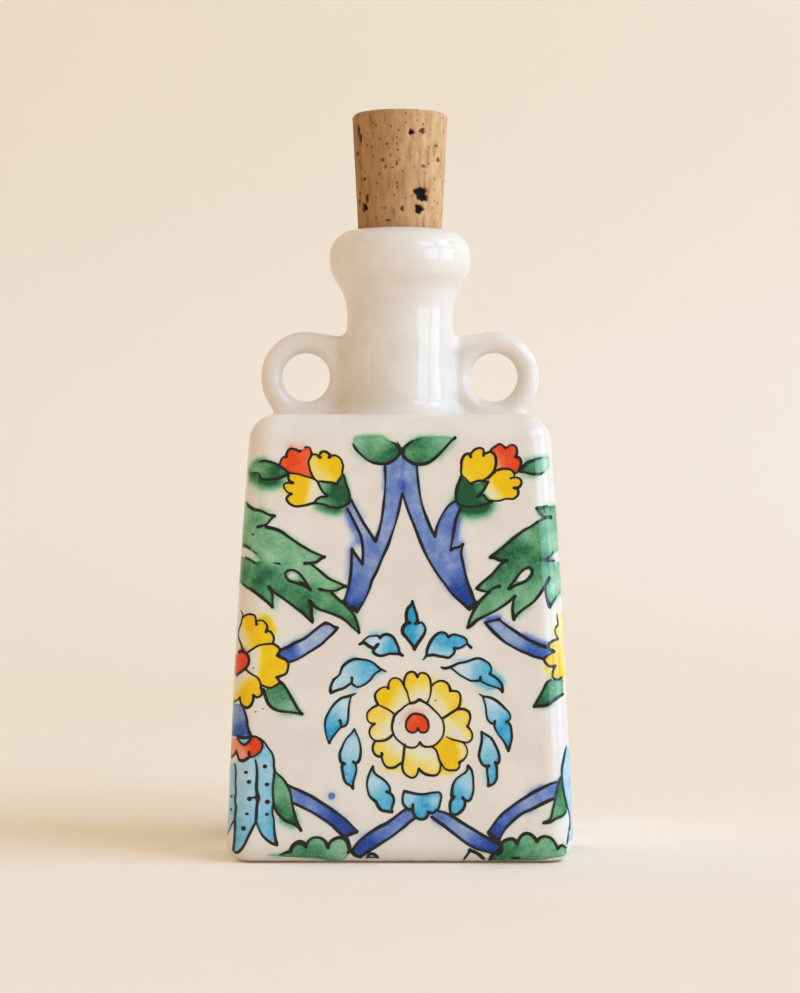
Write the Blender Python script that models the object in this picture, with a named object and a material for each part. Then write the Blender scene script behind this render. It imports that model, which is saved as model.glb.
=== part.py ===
"""A square tapered ceramic bottle with a turned neck, two ring handles and a cork stopper.

Metres, +Z up. The origin is on the ground under the middle of the bottle, and the handles
stand to the left (-X) and right (+X) of the neck. Every size is named below.
"""

import math

import bmesh
import bpy

mm = 0.001
degree = math.pi / 180

# Body: a square vessel that narrows towards its shoulder
base_width = 76.4 * mm
shoulder_width = 66.2 * mm
side_bow = 0.55 * mm
body_height = 98.4 * mm
upright_edge_radius = 6 * mm
shoulder_edge_radius = 5.6 * mm
foot_edge_radius = 4.5 * mm
body_wall = 4.2 * mm
floor_thickness = 5 * mm
shoulder_thickness = 4.8 * mm
inner_edge_radius = 3.4 * mm
foot_rim_width = 5.5 * mm
foot_recess_depth = 1.2 * mm

# Neck: turned, with a flared foot below and a rounded lip above
neck_radius = 12.4 * mm
neck_height = 43.2 * mm
neck_foot_flare = 2.2 * mm
bore_radius = 8.6 * mm
lip_radius = 16.35 * mm
lip_upper_round = 5.8 * mm
lip_lower_round = 8.5 * mm
lip_band_height = 1.15 * mm
lip_tuck_angle = 36 * degree
mouth_edge_radius = 1 * mm
seat_lead_in = 2 * mm

# Cork: a tapered plug, wedged in the mouth
cork_top_radius = 11.1 * mm
cork_bottom_radius = 9.2 * mm
cork_length = 37 * mm
cork_insertion = 10 * mm
cork_edge_chamfer = 0.8 * mm

# Handles: rings let into the neck and the shoulder, with a thinner web between ring and neck
ring_radius = 7.95 * mm
ring_thickness = 5.1 * mm
neck_bite = 1.2 * mm
shoulder_bite = 1.05 * mm
web_thickness = 3.8 * mm
web_fillet_radius = 3 * mm
web_top_drop = 0.9 * mm
handle_foot_reach = 6.6 * mm
handle_foot_height = 0.5 * mm
handle_foot_angle = 45 * degree

# The joint lines between the pieces, and how far a cutter runs past what it cuts
joint_gap = 0.3 * mm
overrun = 2 * mm

# How finely the round shapes are divided
edge_steps = 6
rounding_steps = 4
side_steps = 6
turned_segments = 48
ring_segments = 40
tube_segments = 14

# Places that follow from the sizes
rim_height = body_height + neck_height
tube_radius = ring_thickness / 2
ring_reach = ring_radius + tube_radius
ring_centre_x = neck_radius + ring_reach - neck_bite
ring_centre_z = body_height + ring_reach - shoulder_bite
cork_bottom_height = rim_height - cork_insertion
cork_top_height = cork_bottom_height + cork_length


def clear_scene():
    for old in list(bpy.data.objects):
        bpy.data.objects.remove(old, do_unlink=True)


def material(name, colour, roughness, coat=0.0):
    """A Principled material. Ceramic has a clear coat of glaze, and cork has none."""
    made = bpy.data.materials.new(name)
    made.use_nodes = True
    made.diffuse_color = colour
    shader = made.node_tree.nodes["Principled BSDF"]
    shader.inputs["Base Color"].default_value = colour
    shader.inputs["Roughness"].default_value = roughness
    shader.inputs["Metallic"].default_value = 0.0
    shader.inputs["Coat Weight"].default_value = coat
    return made


def add_object(name, bm, finish=None):
    """The bmesh as an object, smooth but for its sharp edges."""
    bmesh.ops.remove_doubles(bm, verts=bm.verts, dist=joint_gap / 1000)
    bmesh.ops.recalc_face_normals(bm, faces=bm.faces)
    mesh = bpy.data.meshes.new(name)
    bm.to_mesh(mesh)
    bm.free()
    mesh.shade_smooth()
    mesh.set_sharp_from_angle(angle=35 * degree)
    made = bpy.data.objects.new(name, mesh)
    bpy.context.scene.collection.objects.link(made)
    if finish:
        mesh.materials.append(finish)
    return made


def as_cutter(made):
    made.hide_render = True
    made.display_type = "WIRE"
    return made


def square_ring(half_width, edge_radius, height):
    """Points round a square with round corners. It is a circle where edge_radius is half_width."""
    points = []
    centre = half_width - edge_radius
    for corner in range(4):
        for step in range(edge_steps + 1):
            angle = (corner + step / edge_steps) * math.pi / 2
            across = centre if corner in (0, 3) else -centre
            along = centre if corner in (0, 1) else -centre
            points.append(
                (across + edge_radius * math.cos(angle), along + edge_radius * math.sin(angle), height)
            )
    return points


def round_ring(radius, height):
    points = []
    for step in range(turned_segments):
        angle = step * 2 * math.pi / turned_segments
        points.append((radius * math.cos(angle), radius * math.sin(angle), height))
    return points


def skin_rings(rings, closed_loop):
    """A bmesh skin over rings of equally many points. The ends are capped, or join in a loop."""
    bm = bmesh.new()
    rows = [[bm.verts.new(point) for point in ring] for ring in rings]
    pairs = list(zip(rows, rows[1:]))
    if closed_loop:
        pairs.append((rows[-1], rows[0]))
    for lower, upper in pairs:
        for i in range(len(lower)):
            j = (i + 1) % len(lower)
            bm.faces.new((lower[i], lower[j], upper[j], upper[i]))
    if not closed_loop:
        bm.faces.new(rows[0])
        bm.faces.new(rows[-1])
    return bm


def arc(centre_r, centre_z, radius, start, end, steps):
    """Profile points (distance from the axis, height) along an arc, from angle start to end."""
    points = []
    for step in range(steps + 1):
        angle = start + (end - start) * step / steps
        points.append((centre_r + radius * math.cos(angle), centre_z + radius * math.sin(angle)))
    return points


def half_width_at(height):
    """Half the body's outer width at a height, on its slightly bowed sides."""
    share = height / body_height
    straight = (base_width + (shoulder_width - base_width) * share) / 2
    return straight + side_bow * 4 * share * (1 - share)


def rounded_edge(edge_height, radius, turn):
    """Rings round a horizontal edge of the body, from the ground up (turn 1) or up to the top (-1)."""
    rings = []
    for step in range(rounding_steps + 1):
        angle = step / rounding_steps * math.pi / 2
        if turn < 0:
            angle = math.pi / 2 - angle
        inset = radius * (1 - math.sin(angle))
        height = edge_height + turn * radius * (1 - math.cos(angle))
        rings.append(square_ring(half_width_at(height) - inset, upright_edge_radius - inset, height))
    return rings


def side_heights(bottom, top):
    """Evenly spaced heights between the ends of a side, so that its bow is followed."""
    return [bottom + (top - bottom) * step / side_steps for step in range(1, side_steps)]


def body_rings():
    """From the middle of the recess below, out over the body, through the hole and down inside."""
    rim_inner_half = half_width_at(0) - foot_edge_radius - foot_rim_width
    ceiling = body_height - shoulder_thickness
    inner_top = half_width_at(ceiling) - body_wall
    inner_top_side = half_width_at(ceiling - inner_edge_radius) - body_wall
    inner_floor_side = half_width_at(floor_thickness + inner_edge_radius) - body_wall
    inner_floor = half_width_at(floor_thickness) - body_wall
    rings = [
        square_ring(rim_inner_half, inner_edge_radius, foot_recess_depth),
        square_ring(rim_inner_half, inner_edge_radius, 0),
    ]
    rings += rounded_edge(0, foot_edge_radius, 1)
    for height in side_heights(foot_edge_radius, body_height - shoulder_edge_radius):
        rings.append(square_ring(half_width_at(height), upright_edge_radius, height))
    rings += rounded_edge(body_height, shoulder_edge_radius, -1)
    rings += [
        square_ring(bore_radius, bore_radius, body_height),
        square_ring(bore_radius, bore_radius, ceiling),
        square_ring(inner_top - inner_edge_radius, inner_edge_radius, ceiling),
        square_ring(inner_top_side, inner_edge_radius, ceiling - inner_edge_radius),
    ]
    for height in reversed(side_heights(floor_thickness + inner_edge_radius, ceiling - inner_edge_radius)):
        rings.append(square_ring(half_width_at(height) - body_wall, inner_edge_radius, height))
    rings += [
        square_ring(inner_floor_side, inner_edge_radius, floor_thickness + inner_edge_radius),
        square_ring(inner_floor - inner_edge_radius, inner_edge_radius, floor_thickness),
    ]
    return rings


def neck_outside(grow=0.0):
    """The neck's outer profile from its foot to the lip's tuck, moved out and up by grow."""
    foot_height = body_height + joint_gap
    lower_z = rim_height - lip_upper_round - lip_band_height
    tuck_r = lip_radius - lip_lower_round * (1 - math.cos(lip_tuck_angle))
    tuck_z = lower_z - lip_lower_round * math.sin(lip_tuck_angle)
    throat_radius = (tuck_r - neck_radius) / (1 - math.cos(lip_tuck_angle))
    throat_z = tuck_z - throat_radius * math.sin(lip_tuck_angle)
    foot = arc(
        neck_radius + neck_foot_flare,
        foot_height + neck_foot_flare,
        neck_foot_flare,
        math.pi * 3 / 2,
        math.pi,
        rounding_steps,
    )
    throat = arc(
        neck_radius + throat_radius,
        throat_z,
        throat_radius,
        math.pi,
        math.pi - lip_tuck_angle,
        rounding_steps,
    )
    return [(r + grow, z + grow) for r, z in foot + throat]


def cork_radius_at(height):
    """The cork's radius at a height, on its tapered side."""
    share = (height - cork_bottom_height) / cork_length
    return cork_bottom_radius + (cork_top_radius - cork_bottom_radius) * share


def neck_profile():
    """The neck's whole profile: up the outside, over the lip and down the tapered seat and the bore."""
    lower_z = rim_height - lip_upper_round - lip_band_height
    upper_r = lip_radius - lip_upper_round
    upper_z = rim_height - lip_upper_round
    mouth_radius = cork_radius_at(rim_height) + joint_gap
    seat_bottom_radius = cork_radius_at(cork_bottom_height) + joint_gap
    seat_bottom = cork_bottom_height - joint_gap
    reach = (mouth_radius + mouth_edge_radius - upper_r) / lip_upper_round
    lip_end = math.acos(max(0.0, min(1.0, reach)))
    lip_top = upper_z + lip_upper_round * math.sin(lip_end)
    lower_lip = arc(
        lip_radius - lip_lower_round, lower_z, lip_lower_round, -lip_tuck_angle, 0, rounding_steps
    )
    upper_lip = arc(upper_r, upper_z, lip_upper_round, 0, lip_end, 2 * rounding_steps)
    mouth_edge = arc(
        mouth_radius + mouth_edge_radius,
        lip_top - mouth_edge_radius,
        mouth_edge_radius,
        math.pi / 2,
        math.pi,
        rounding_steps,
    )
    bore = [
        (seat_bottom_radius, seat_bottom),
        (bore_radius, seat_bottom - seat_lead_in),
        (bore_radius, body_height + joint_gap),
    ]
    return neck_outside() + lower_lip[1:] + upper_lip + mouth_edge[1:] + bore


def turned(name, profile, closed_loop, finish=None):
    """A solid turned about the bottle's axis from profile points (distance from the axis, height)."""
    rings = [round_ring(radius, height) for radius, height in profile]
    return add_object(name, skin_rings(rings, closed_loop), finish)


def cork_profile():
    chamfer = cork_edge_chamfer
    return [
        (cork_radius_at(cork_bottom_height + chamfer) - chamfer, cork_bottom_height),
        (cork_radius_at(cork_bottom_height + chamfer), cork_bottom_height + chamfer),
        (cork_radius_at(cork_top_height - chamfer), cork_top_height - chamfer),
        (cork_radius_at(cork_top_height - chamfer) - chamfer, cork_top_height),
    ]


def ring_tube(name, side, finish):
    """The handle's round tube, a ring that faces the front."""
    rings = []
    for turn in range(ring_segments):
        around = turn * 2 * math.pi / ring_segments
        ring = []
        for step in range(tube_segments):
            angle = step * 2 * math.pi / tube_segments
            reach = ring_radius + tube_radius * math.cos(angle)
            ring.append(
                (
                    side * ring_centre_x + reach * math.cos(around),
                    tube_radius * math.sin(angle),
                    ring_centre_z + reach * math.sin(around),
                )
            )
        rings.append(ring)
    return add_object(name, skin_rings(rings, True), finish)


def web_block(name, side):
    """The web between the ring, the neck and the shoulder, with a hollow fillet along its top
    and a small spread foot on its outer side."""
    top = ring_centre_z + ring_reach - web_top_drop
    fillet = arc(
        neck_radius + web_fillet_radius,
        top + web_fillet_radius,
        web_fillet_radius,
        math.pi * 3 / 2,
        math.pi,
        rounding_steps,
    )
    outline = [
        (0, body_height - overrun),
        (ring_centre_x + handle_foot_reach, body_height - overrun),
        (ring_centre_x + handle_foot_reach, body_height + handle_foot_height),
    ]
    half_steps = ring_segments // 2
    for step in range(half_steps + 1):
        sweep = math.pi * 3 / 2 - handle_foot_angle
        angle = -handle_foot_angle - sweep * step / half_steps
        outline.append(
            (ring_centre_x + ring_radius * math.cos(angle), ring_centre_z + ring_radius * math.sin(angle))
        )
    outline += [(ring_centre_x, top)] + fillet + [(0, top + web_fillet_radius)]
    bm = bmesh.new()
    half = web_thickness / 2
    front = [bm.verts.new((side * x, -half, z)) for x, z in outline]
    face = bm.faces.new(front)
    pulled = bmesh.ops.extrude_face_region(bm, geom=[face])
    back = [item for item in pulled["geom"] if isinstance(item, bmesh.types.BMVert)]
    bmesh.ops.translate(bm, verts=back, vec=(0, web_thickness, 0))
    return as_cutter(add_object(name, bm))


def shoulder_block():
    """A block whose top is the joint line between the body's shoulder and the handles."""
    bm = bmesh.new()
    bmesh.ops.create_cube(bm, size=1)
    bmesh.ops.scale(bm, verts=bm.verts, vec=(base_width, base_width, body_height))
    bmesh.ops.translate(bm, verts=bm.verts, vec=(0, 0, joint_gap + body_height / 2))
    return as_cutter(add_object("shoulder_cutter", bm))


def neck_block():
    """The neck's outside with the joint gap added, as a solid that cuts the handles."""
    profile = neck_outside(joint_gap)
    foot_r, foot_z = profile[0]
    profile.insert(0, (foot_r, foot_z - overrun))
    return as_cutter(turned("neck_cutter", profile, False))


def add_boolean(target, operation, other):
    cut = target.modifiers.new(other.name, "BOOLEAN")
    cut.operation = operation
    cut.solver = "EXACT"
    cut.object = other


def handle(name, side, cutters, finish):
    ring = ring_tube(name, side, finish)
    add_boolean(ring, "UNION", web_block(name + "_web", side))
    for cutter in cutters:
        add_boolean(ring, "DIFFERENCE", cutter)
    return ring


def build():
    clear_scene()
    glaze = material("white_glaze", (0.86, 0.83, 0.79, 1), 0.12, coat=0.6)
    cork = material("natural_cork", (0.62, 0.40, 0.22, 1), 0.8)
    add_object("bottle_body", skin_rings(body_rings(), False), glaze)
    turned("bottle_neck", neck_profile(), True, glaze)
    turned("cork_stopper", cork_profile(), False, cork)
    cutters = [neck_block(), shoulder_block()]
    handle("left_handle", -1, cutters, glaze)
    handle("right_handle", 1, cutters, glaze)


build()
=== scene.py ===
import math

import bpy
import mathutils
import numpy as np
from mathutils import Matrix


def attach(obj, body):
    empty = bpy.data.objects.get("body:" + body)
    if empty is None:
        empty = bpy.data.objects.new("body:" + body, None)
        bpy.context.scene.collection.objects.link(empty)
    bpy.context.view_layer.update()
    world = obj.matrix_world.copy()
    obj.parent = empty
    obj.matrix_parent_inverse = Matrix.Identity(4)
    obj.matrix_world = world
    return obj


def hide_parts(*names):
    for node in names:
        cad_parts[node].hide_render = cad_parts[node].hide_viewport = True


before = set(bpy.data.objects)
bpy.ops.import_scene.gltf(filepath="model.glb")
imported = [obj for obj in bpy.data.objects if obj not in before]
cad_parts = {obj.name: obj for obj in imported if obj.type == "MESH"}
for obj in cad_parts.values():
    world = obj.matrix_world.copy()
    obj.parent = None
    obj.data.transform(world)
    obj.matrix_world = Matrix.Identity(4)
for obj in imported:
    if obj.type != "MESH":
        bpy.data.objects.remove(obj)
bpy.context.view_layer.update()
scene = bpy.context.scene

mm = 0.001
degree = math.pi / 180

# The photograph's frame, and the camera that took it
frame_width = 800.0
frame_height = 993.0
focal_pixels = 2765.0
camera_distance = 640 * mm
camera_height = 80.15 * mm
axis_column = 400.0
eye_row = 496.5

# The vessel, as the part's source has it, drawn in a little so that the painted lines stay inside its box
skin_inset = 0.08 * mm
base_half = 38.2 * mm - skin_inset
shoulder_half = 33.1 * mm - skin_inset
side_bow = 0.55 * mm
body_height = 98.4 * mm
upright_radius = 6 * mm
shoulder_edge = 5.6 * mm
foot_edge = 4.5 * mm
body_wall = 4.2 * mm
floor_thickness = 5 * mm
ceiling_height = 93.6 * mm
inner_edge = 3.4 * mm
foot_rim_width = 5.5 * mm
recess_depth = 1.2 * mm
neck_radius = 12.4 * mm - skin_inset
rim_height = 141.6 * mm
lip_radius = 16.35 * mm
lip_upper = 5.8 * mm
lip_lower = 8.5 * mm
lip_band = 1.15 * mm
lip_tuck = 36 * degree
bore_radius = 8.6 * mm
mouth_edge = 1 * mm
seat_lead = 3 * mm
neck_fillet = 4.5 * mm
ring_radius = 7.95 * mm
tube_radius = 2.5 * mm
ring_x = 21.7 * mm
ring_z = 107.85 * mm
handle_fillet = 2.1 * mm
handle_foot_fillet = 3.2 * mm
# How far above the body the wider fillet at the handles' foot ends, and over what height it comes in
foot_fillet_end = 8 * mm
foot_fillet_fade = 6 * mm
ring_stretch = 0.95
bridge_radius = 2.45 * mm
bridge_inner = 11 * mm
bridge_drop = 1.4 * mm
web_radius = 2.1 * mm
web_height = 1.3 * mm

# The cork
cork_low = 131.6 * mm
cork_high = 168.6 * mm
cork_low_radius = 9.2 * mm
cork_high_radius = 11.1 * mm
cork_clearance = 0.12 * mm

# How finely the skin is divided. Above net_floor it is a net over the shape, below it rings of points
net_step = 0.7 * mm
net_reach = 34.5 * mm
net_floor = 91 * mm
net_ceiling = ceiling_height + 0.3 * inner_edge
side_step = 0.7 * mm
foot_steps = 8
inner_steps = 4
inner_rows = 8
# The recess under the base, from the foot rim inwards: how far in from the rim's inner side, and how high
recess_rings = (
    (-2.8 * mm, 0),
    (-0.25 * mm, 0),
    (0, 0.15 * mm),
    (0.25 * mm, 0.8 * recess_depth),
    (0.8 * mm, recess_depth),
    (4 * mm, 1.15 * recess_depth),
)
recess_top = 1.2 * recess_depth
# Where the bore opens into the hollow, a ring lies this far out from the bore and up from the ceiling
throat_step = 0.3 * mm
# The ceiling's first ring is this much wider than the bore
throat_margin = 1.2 * mm


def half_width(z):
    """Half the body's breadth at a height."""
    share = np.clip(z / body_height, 0, 1)
    return base_half + (shoulder_half - base_half) * share + side_bow * 4 * share * (1 - share)


def mesh_object(name, points, faces, body=None):
    mesh = bpy.data.meshes.new(name)
    mesh.from_pydata([tuple(p) for p in points], [], [tuple(f) for f in faces])
    mesh.update()
    mesh.shade_smooth()
    made = bpy.data.objects.new(name, mesh)
    scene.collection.objects.link(made)
    if body:
        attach(made, body)
    return made


# The vessel's shape as a distance field: negative inside the clay
def cork_radius(z):
    return cork_low_radius + (cork_high_radius - cork_low_radius) * (z - cork_low) / (cork_high - cork_low)


def bore_at(z):
    seat = cork_radius(z) + cork_clearance
    lead = np.clip((z - cork_low + seat_lead) / seat_lead, 0, 1)
    return np.where(z > cork_low, seat, bore_radius + (cork_low_radius + cork_clearance - bore_radius) * lead)


def neck_at(z):
    """The neck's outer radius below the rim's rounding: straight, then hollow, then the swell of the lip."""
    lower = rim_height - lip_upper - lip_band
    tuck_r = lip_radius - lip_lower * (1 - math.cos(lip_tuck))
    tuck_z = lower - lip_lower * math.sin(lip_tuck)
    throat = (tuck_r - neck_radius) / (1 - math.cos(lip_tuck))
    throat_z = tuck_z - throat * math.sin(lip_tuck)
    hollow = neck_radius + throat - np.sqrt(np.maximum(throat**2 - (z - throat_z) ** 2, 0))
    bulge = lip_radius - lip_lower + np.sqrt(np.maximum(lip_lower**2 - (lower - z) ** 2, 0))
    out = np.where(z < throat_z, neck_radius, hollow)
    out = np.where(z > tuck_z, bulge, out)
    return np.where(z > lower, lip_radius, out)


def join(a, b, radius):
    """Two solids as one, with a hollow fillet of this radius between them."""
    u = np.maximum(radius - a, 0)
    v = np.maximum(radius - b, 0)
    return np.maximum(radius, np.minimum(a, b)) - np.sqrt(u * u + v * v)


def trim(a, b, radius):
    """What is inside both, with a rounded edge of this radius."""
    u = np.maximum(radius + a, 0)
    v = np.maximum(radius + b, 0)
    return np.minimum(-radius, np.maximum(a, b)) + np.sqrt(u * u + v * v)


def column(p):
    """The square body by itself, with its shoulder and its foot rounded."""
    x, y, z = p[..., 0], p[..., 1], p[..., 2]
    centre = half_width(z) - upright_radius
    qx = np.abs(x) - centre
    qy = np.abs(y) - centre
    side = np.hypot(np.maximum(qx, 0), np.maximum(qy, 0)) + np.minimum(np.maximum(qx, qy), 0) - upright_radius
    edge = np.where(z > body_height / 2, shoulder_edge, foot_edge)
    a = side + edge
    b = np.where(z > body_height / 2, z - body_height, -z) + edge
    return np.hypot(np.maximum(a, 0), np.maximum(b, 0)) + np.minimum(np.maximum(a, b), 0) - edge


def capsule(x, y, z, start, end, radius):
    """A straight bar with round ends, in the plane of the handles."""
    along = np.array([end[0] - start[0], end[1] - start[1]])
    share = np.clip(((x - start[0]) * along[0] + (z - start[1]) * along[1]) / (along @ along), 0, 1)
    across = x - start[0] - share * along[0]
    up = z - start[1] - share * along[1]
    return np.sqrt(across**2 + y**2 + up**2) - radius


def vessel(p):
    """All the ceramic, outside and down into the bore. The hollow of the body isn't in it."""
    x, y, z = p[..., 0], p[..., 1], p[..., 2]
    r = np.hypot(x, y)
    upper_r = lip_radius - lip_upper
    upper_z = rim_height - lip_upper
    over = np.where(r > upper_r, np.hypot(r - upper_r, z - upper_z) - lip_upper, z - rim_height)
    neck = np.where(z > upper_z, over, r - neck_at(z))
    rise = z - ring_z
    rise = np.where(rise < 0, rise * ring_stretch, rise)
    ring = np.hypot(np.hypot(np.abs(x) - ring_x, rise) - ring_radius, y) - tube_radius
    top = (ring_x, ring_z + ring_radius)
    bridge = capsule(np.abs(x), y, z, top, (bridge_inner, top[1] - bridge_drop), bridge_radius)
    foot = (ring_x - ring_radius / 2, body_height + web_height)
    web = capsule(np.abs(x), y, z, foot, (bridge_inner, foot[1]), web_radius)
    handle = np.minimum(np.minimum(ring, bridge), web)
    solid = join(column(p), neck, neck_fillet)
    low = np.clip((body_height + foot_fillet_end - z) / foot_fillet_fade, 0, 1)
    solid = join(solid, handle, handle_fillet + (handle_foot_fillet - handle_fillet) * low)
    return trim(solid, bore_at(z) - r, mouth_edge)


def slope_at(field, p, e=0.01 * mm):
    """How fast the field grows along each of the three directions."""
    return np.stack([(field(p + e * axis) - field(p - e * axis)) / (2 * e) for axis in np.eye(3)], -1)


def onto(field, p, turns=4):
    """The points moved onto the field's surface."""
    for _ in range(turns):
        value = field(p)
        slope = slope_at(field, p)
        p = p - (value / np.maximum((slope**2).sum(-1), 1e-6))[..., None] * slope
    return p


def one_apart(axis):
    """Indexes that set a grid against itself, moved by one place along an axis."""
    first, second = [slice(None)] * 3, [slice(None)] * 3
    first[axis], second[axis] = slice(0, -1), slice(1, None)
    return tuple(first), tuple(second)


def surface_net(field, low, high, step):
    """Points and quads along the field's surface, one point to each cell that it crosses."""
    counts = [int(round((b - a) / step)) + 1 for a, b in zip(low, high)]
    axes = [a + step * np.arange(n) for a, n in zip(low, counts)]
    grid = np.stack(np.meshgrid(*axes, indexing="ij"), -1)
    value = field(grid)
    inside = value < 0
    shape = tuple(n - 1 for n in counts)
    total = np.zeros(shape + (3,))
    hits = np.zeros(shape)
    for axis in range(3):
        first, second = one_apart(axis)
        crossed = inside[first] != inside[second]
        share = value[first] / np.where(crossed, value[first] - value[second], 1)
        at = grid[first] + share[..., None] * (grid[second] - grid[first])
        at = np.where(crossed[..., None], at, 0)
        u, v = [k for k in range(3) if k != axis]
        for du in (0, 1):
            for dv in (0, 1):
                pick = [slice(None)] * 3
                pick[u] = slice(du, du + shape[u])
                pick[v] = slice(dv, dv + shape[v])
                total += at[tuple(pick)]
                hits += crossed[tuple(pick)]
    active = hits > 0
    number = np.full(shape, -1)
    number[active] = np.arange(active.sum())
    points = total[active] / hits[active][:, None]
    quads = []
    for axis in range(3):
        first, second = one_apart(axis)
        u, v = [(1, 2), (2, 0), (0, 1)][axis]
        where = np.argwhere(inside[first] != inside[second])
        a, b = where[:, u], where[:, v]
        where = where[(a > 0) & (b > 0) & (a < shape[u]) & (b < shape[v])]
        out = inside[first][tuple(where.T)]
        corners = []
        for du, dv in ((1, 1), (0, 1), (0, 0), (1, 0)):
            cell = where.copy()
            cell[:, u] -= du
            cell[:, v] -= dv
            corners.append(number[tuple(cell.T)])
        quad = np.stack(corners, -1)
        quads.append(np.where(out[:, None], quad, quad[:, ::-1]))
    return points, np.concatenate(quads)


def edge_loops(quads):
    """The open edges of a mesh, as loops of point numbers."""
    a = quads.ravel()
    b = np.roll(quads, -1, 1).ravel()
    pairs = set(zip(a.tolist(), b.tolist()))
    after = {p: q for p, q in pairs if (q, p) not in pairs}
    loops = []
    while after:
        start, here = after.popitem()
        loop = [start]
        while here != start:
            loop.append(here)
            here = after.pop(here)
        loops.append(np.array(loop))
    return loops


def square_point(side, across, angle, half, radius):
    """Points on a round-cornered square, from their quarter and the place on its flat or round its corner."""
    centre = half - radius
    flat = np.isnan(angle)
    turn = np.where(flat, 0, angle)
    u = np.where(flat, across * centre, centre + radius * np.sin(turn))
    v = np.where(flat, half, centre + radius * np.cos(turn))
    facing = side * math.pi / 2
    return u * np.cos(facing) + v * np.sin(facing), u * np.sin(facing) - v * np.cos(facing)


def square_place(x, y, half, radius):
    """The inverse of square_point. The angle is nan for points on the flat."""
    centre = half - radius
    side = np.round(np.arctan2(y, x) / (math.pi / 2) + 1) % 4
    facing = side * math.pi / 2
    u = x * np.cos(facing) + y * np.sin(facing)
    v = x * np.sin(facing) - y * np.cos(facing)
    on_corner = np.abs(u) > centre
    swap = on_corner & (u < 0)
    side = np.where(swap, (side - 1) % 4, side)
    u, v = np.where(swap, v, u), np.where(swap, -u, v)
    angle = np.where(on_corner, np.arctan2(u - centre, v - centre), np.nan)
    return side, u / centre, angle


def radial(angle, half, radius):
    """How far a round-cornered square reaches from its centre in each direction."""
    u = np.maximum(np.abs(np.cos(angle)), np.abs(np.sin(angle)))
    v = np.minimum(np.abs(np.cos(angle)), np.abs(np.sin(angle)))
    centre = half - radius
    flat = half / u
    b = centre * (u + v)
    bent = b + np.sqrt(np.maximum(b * b - 2 * centre**2 + radius**2, 0))
    return np.where(flat * v > centre, bent, flat)


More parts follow.
